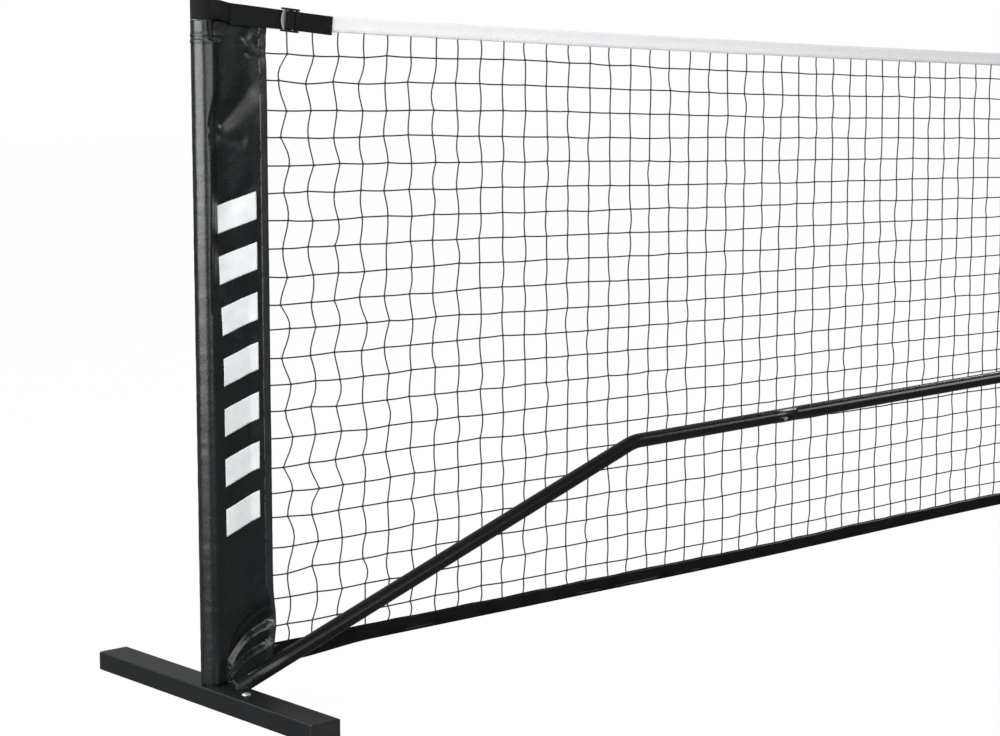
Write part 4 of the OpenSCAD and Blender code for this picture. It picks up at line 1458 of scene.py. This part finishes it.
def make_springs():
    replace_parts(foot_clip("middle"), "spring_clip_middle")
    for side in SIDES:
        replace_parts(foot_clip(side), f"spring_clips_{side}")
        for number, joint in (("outer", JOINT_A), ("mid", JOINT_B), ("inner", JOINT_C)):
            tube_clip(number, joint - BUTTON_INSET, side)


make_springs()


# ---- hard plastic ends ----

def bevelled(node, width):
    """Rounds a hard part's edges a little without changing its own mesh."""
    edge = frame["nodes"][node].modifiers.new("soft edges", "BEVEL")
    edge.width = width
    edge.segments = 2
    edge.limit_method = "ANGLE"
    edge.angle_limit = 0.9
    edge.use_clamp_overlap = True
    edge.harden_normals = False


for end in SIDES + ("middle",):
    bevelled(f"foot_end_caps_{end}", 0.7 * MM)
    bevelled(f"post_cap_{end}", 0.35 * MM)


# ---- floor, camera and light ----

WHITE = (1, 1, 1, 1)
FLOOR_SIZE = 60
FLOOR_GREY = (0.14, 0.14, 0.142, 1)       # what the lamps and the part see of the floor
FLOOR_GLOW = 0.99                         # the rest of what the camera sees is lit, with its shadows
SKY = (0.97, 0.985, 1.0, 1)
SKY_FRONT, SKY_BACK = (-0.2, 0.06), (0.5, 0.36)     # a direction's y, and how strong the light is there
CAMERA_AT = (-HALF_SPAN - 1.6383, -2.4059, 0.8055)
CAMERA_TILT, CAMERA_TURN = math.radians(82.945), math.radians(-41.787)
LENS_MM, SENSOR_MM = 80.1, 36


def shown_apart(tree, output, camera, others):
    """Shows one shader to the camera, and another one to everything else."""
    path = add_node(tree, "ShaderNodeLightPath")
    mix = add_node(tree, "ShaderNodeMixShader",
                   {"Fac": path.outputs["Is Camera Ray"], 1: others.outputs[0], 2: camera.outputs[0]})
    tree.links.new(mix.outputs[0], tree.nodes[output].inputs["Surface"])


def make_floor():
    bpy.ops.mesh.primitive_plane_add(size=FLOOR_SIZE, location=(0, 0, 0))
    floor = bpy.context.object
    floor.name = "studio_floor"
    material = bpy.data.materials.new("studio_floor")
    material.use_nodes = True
    tree = material.node_tree
    grey = tree.nodes["Principled BSDF"]
    grey.inputs["Base Color"].default_value = FLOOR_GREY
    grey.inputs["Roughness"].default_value = 0.9
    grey.inputs["Specular IOR Level"].default_value = 0.1
    lit = add_node(tree, "ShaderNodeBsdfDiffuse", {"Color": (0.95, 0.95, 0.95, 1)})
    glow = add_node(tree, "ShaderNodeEmission", {"Color": WHITE, "Strength": 1.0})
    seen = add_node(tree, "ShaderNodeMixShader",
                    {"Fac": FLOOR_GLOW, 1: lit.outputs[0], 2: glow.outputs[0]})
    shown_apart(tree, "Material Output", seen, grey)
    floor.data.materials.append(material)


def make_world():
    """White to the camera. Everything else sees a dim room, lighter behind the net than before it."""
    world = bpy.data.worlds.new("studio")
    bpy.context.scene.world = world
    world.use_nodes = True
    tree = world.node_tree
    direction = add_node(tree, "ShaderNodeTexCoord").outputs["Generated"]
    split = add_node(tree, "ShaderNodeSeparateXYZ", {0: direction})
    light = add_node(tree, "ShaderNodeMapRange", {
        "Value": split.outputs["Y"], "From Min": SKY_FRONT[0], "From Max": SKY_BACK[0],
        "To Min": SKY_FRONT[1], "To Max": SKY_BACK[1],
    })
    room = tree.nodes["Background"]
    room.inputs["Color"].default_value = SKY
    tree.links.new(light.outputs[0], room.inputs["Strength"])
    white = add_node(tree, "ShaderNodeBackground", {"Color": WHITE, "Strength": 1.0})
    shown_apart(tree, "World Output", white, room)


def softbox(name, at, target, width, height, power):
    """A rectangular lamp at one point, turned to another and hidden from the camera. Power in watts."""
    data = bpy.data.lights.new(name, "AREA")
    data.shape = "RECTANGLE"
    data.size = width
    data.size_y = height
    data.energy = power
    lamp = linked(name, data)
    lamp.location = at
    lamp.rotation_euler = (Vector(target) - Vector(at)).to_track_quat("-Z", "Y").to_euler()
    lamp.visible_camera = False


def make_lights():
    post = Vector((-HALF_SPAN, 0, 0.75))
    softbox("key_left", post + Vector((-3.3, -0.8, 0.12)), post, 5.2, 1.4, 215)
    softbox("front_high", post + Vector((-0.5, -3.2, 2.2)), post + Vector((0.5, 0, 0)), 2.8, 2.2, 72)
    softbox("front_strip", post + Vector((0.4, -3.4, 0.85)), post, 3.4, 0.9, 22)
    softbox("front_right", post + Vector((0.2, -3.4, -0.05)), post, 1.4, 0.7, 17)
    softbox("front_far", (HALF_SPAN + 0.5, -3.2, 2.95), (HALF_SPAN - 1, 0, 0.6), 2.8, 2.2, 110)
    softbox("back_left", (-4.6, 1.8, 3.4), (-2.2, 0, 0.6), 2.2, 1.6, 110)
    softbox("back_right", (4.6, 1.8, 3.4), (2.2, 0, 0.6), 2.2, 1.6, 110)


def make_camera():
    """The photo's view, from the front and left of the net's left end."""
    data = bpy.data.cameras.new("camera")
    data.lens = LENS_MM
    data.sensor_width = SENSOR_MM
    camera = linked("camera", data)
    camera.location = CAMERA_AT
    camera.rotation_euler = (CAMERA_TILT, 0, CAMERA_TURN)
    bpy.context.scene.camera = camera


make_floor()
make_world()
make_lights()
make_camera()
bpy.context.scene.view_settings.view_transform = "Standard"
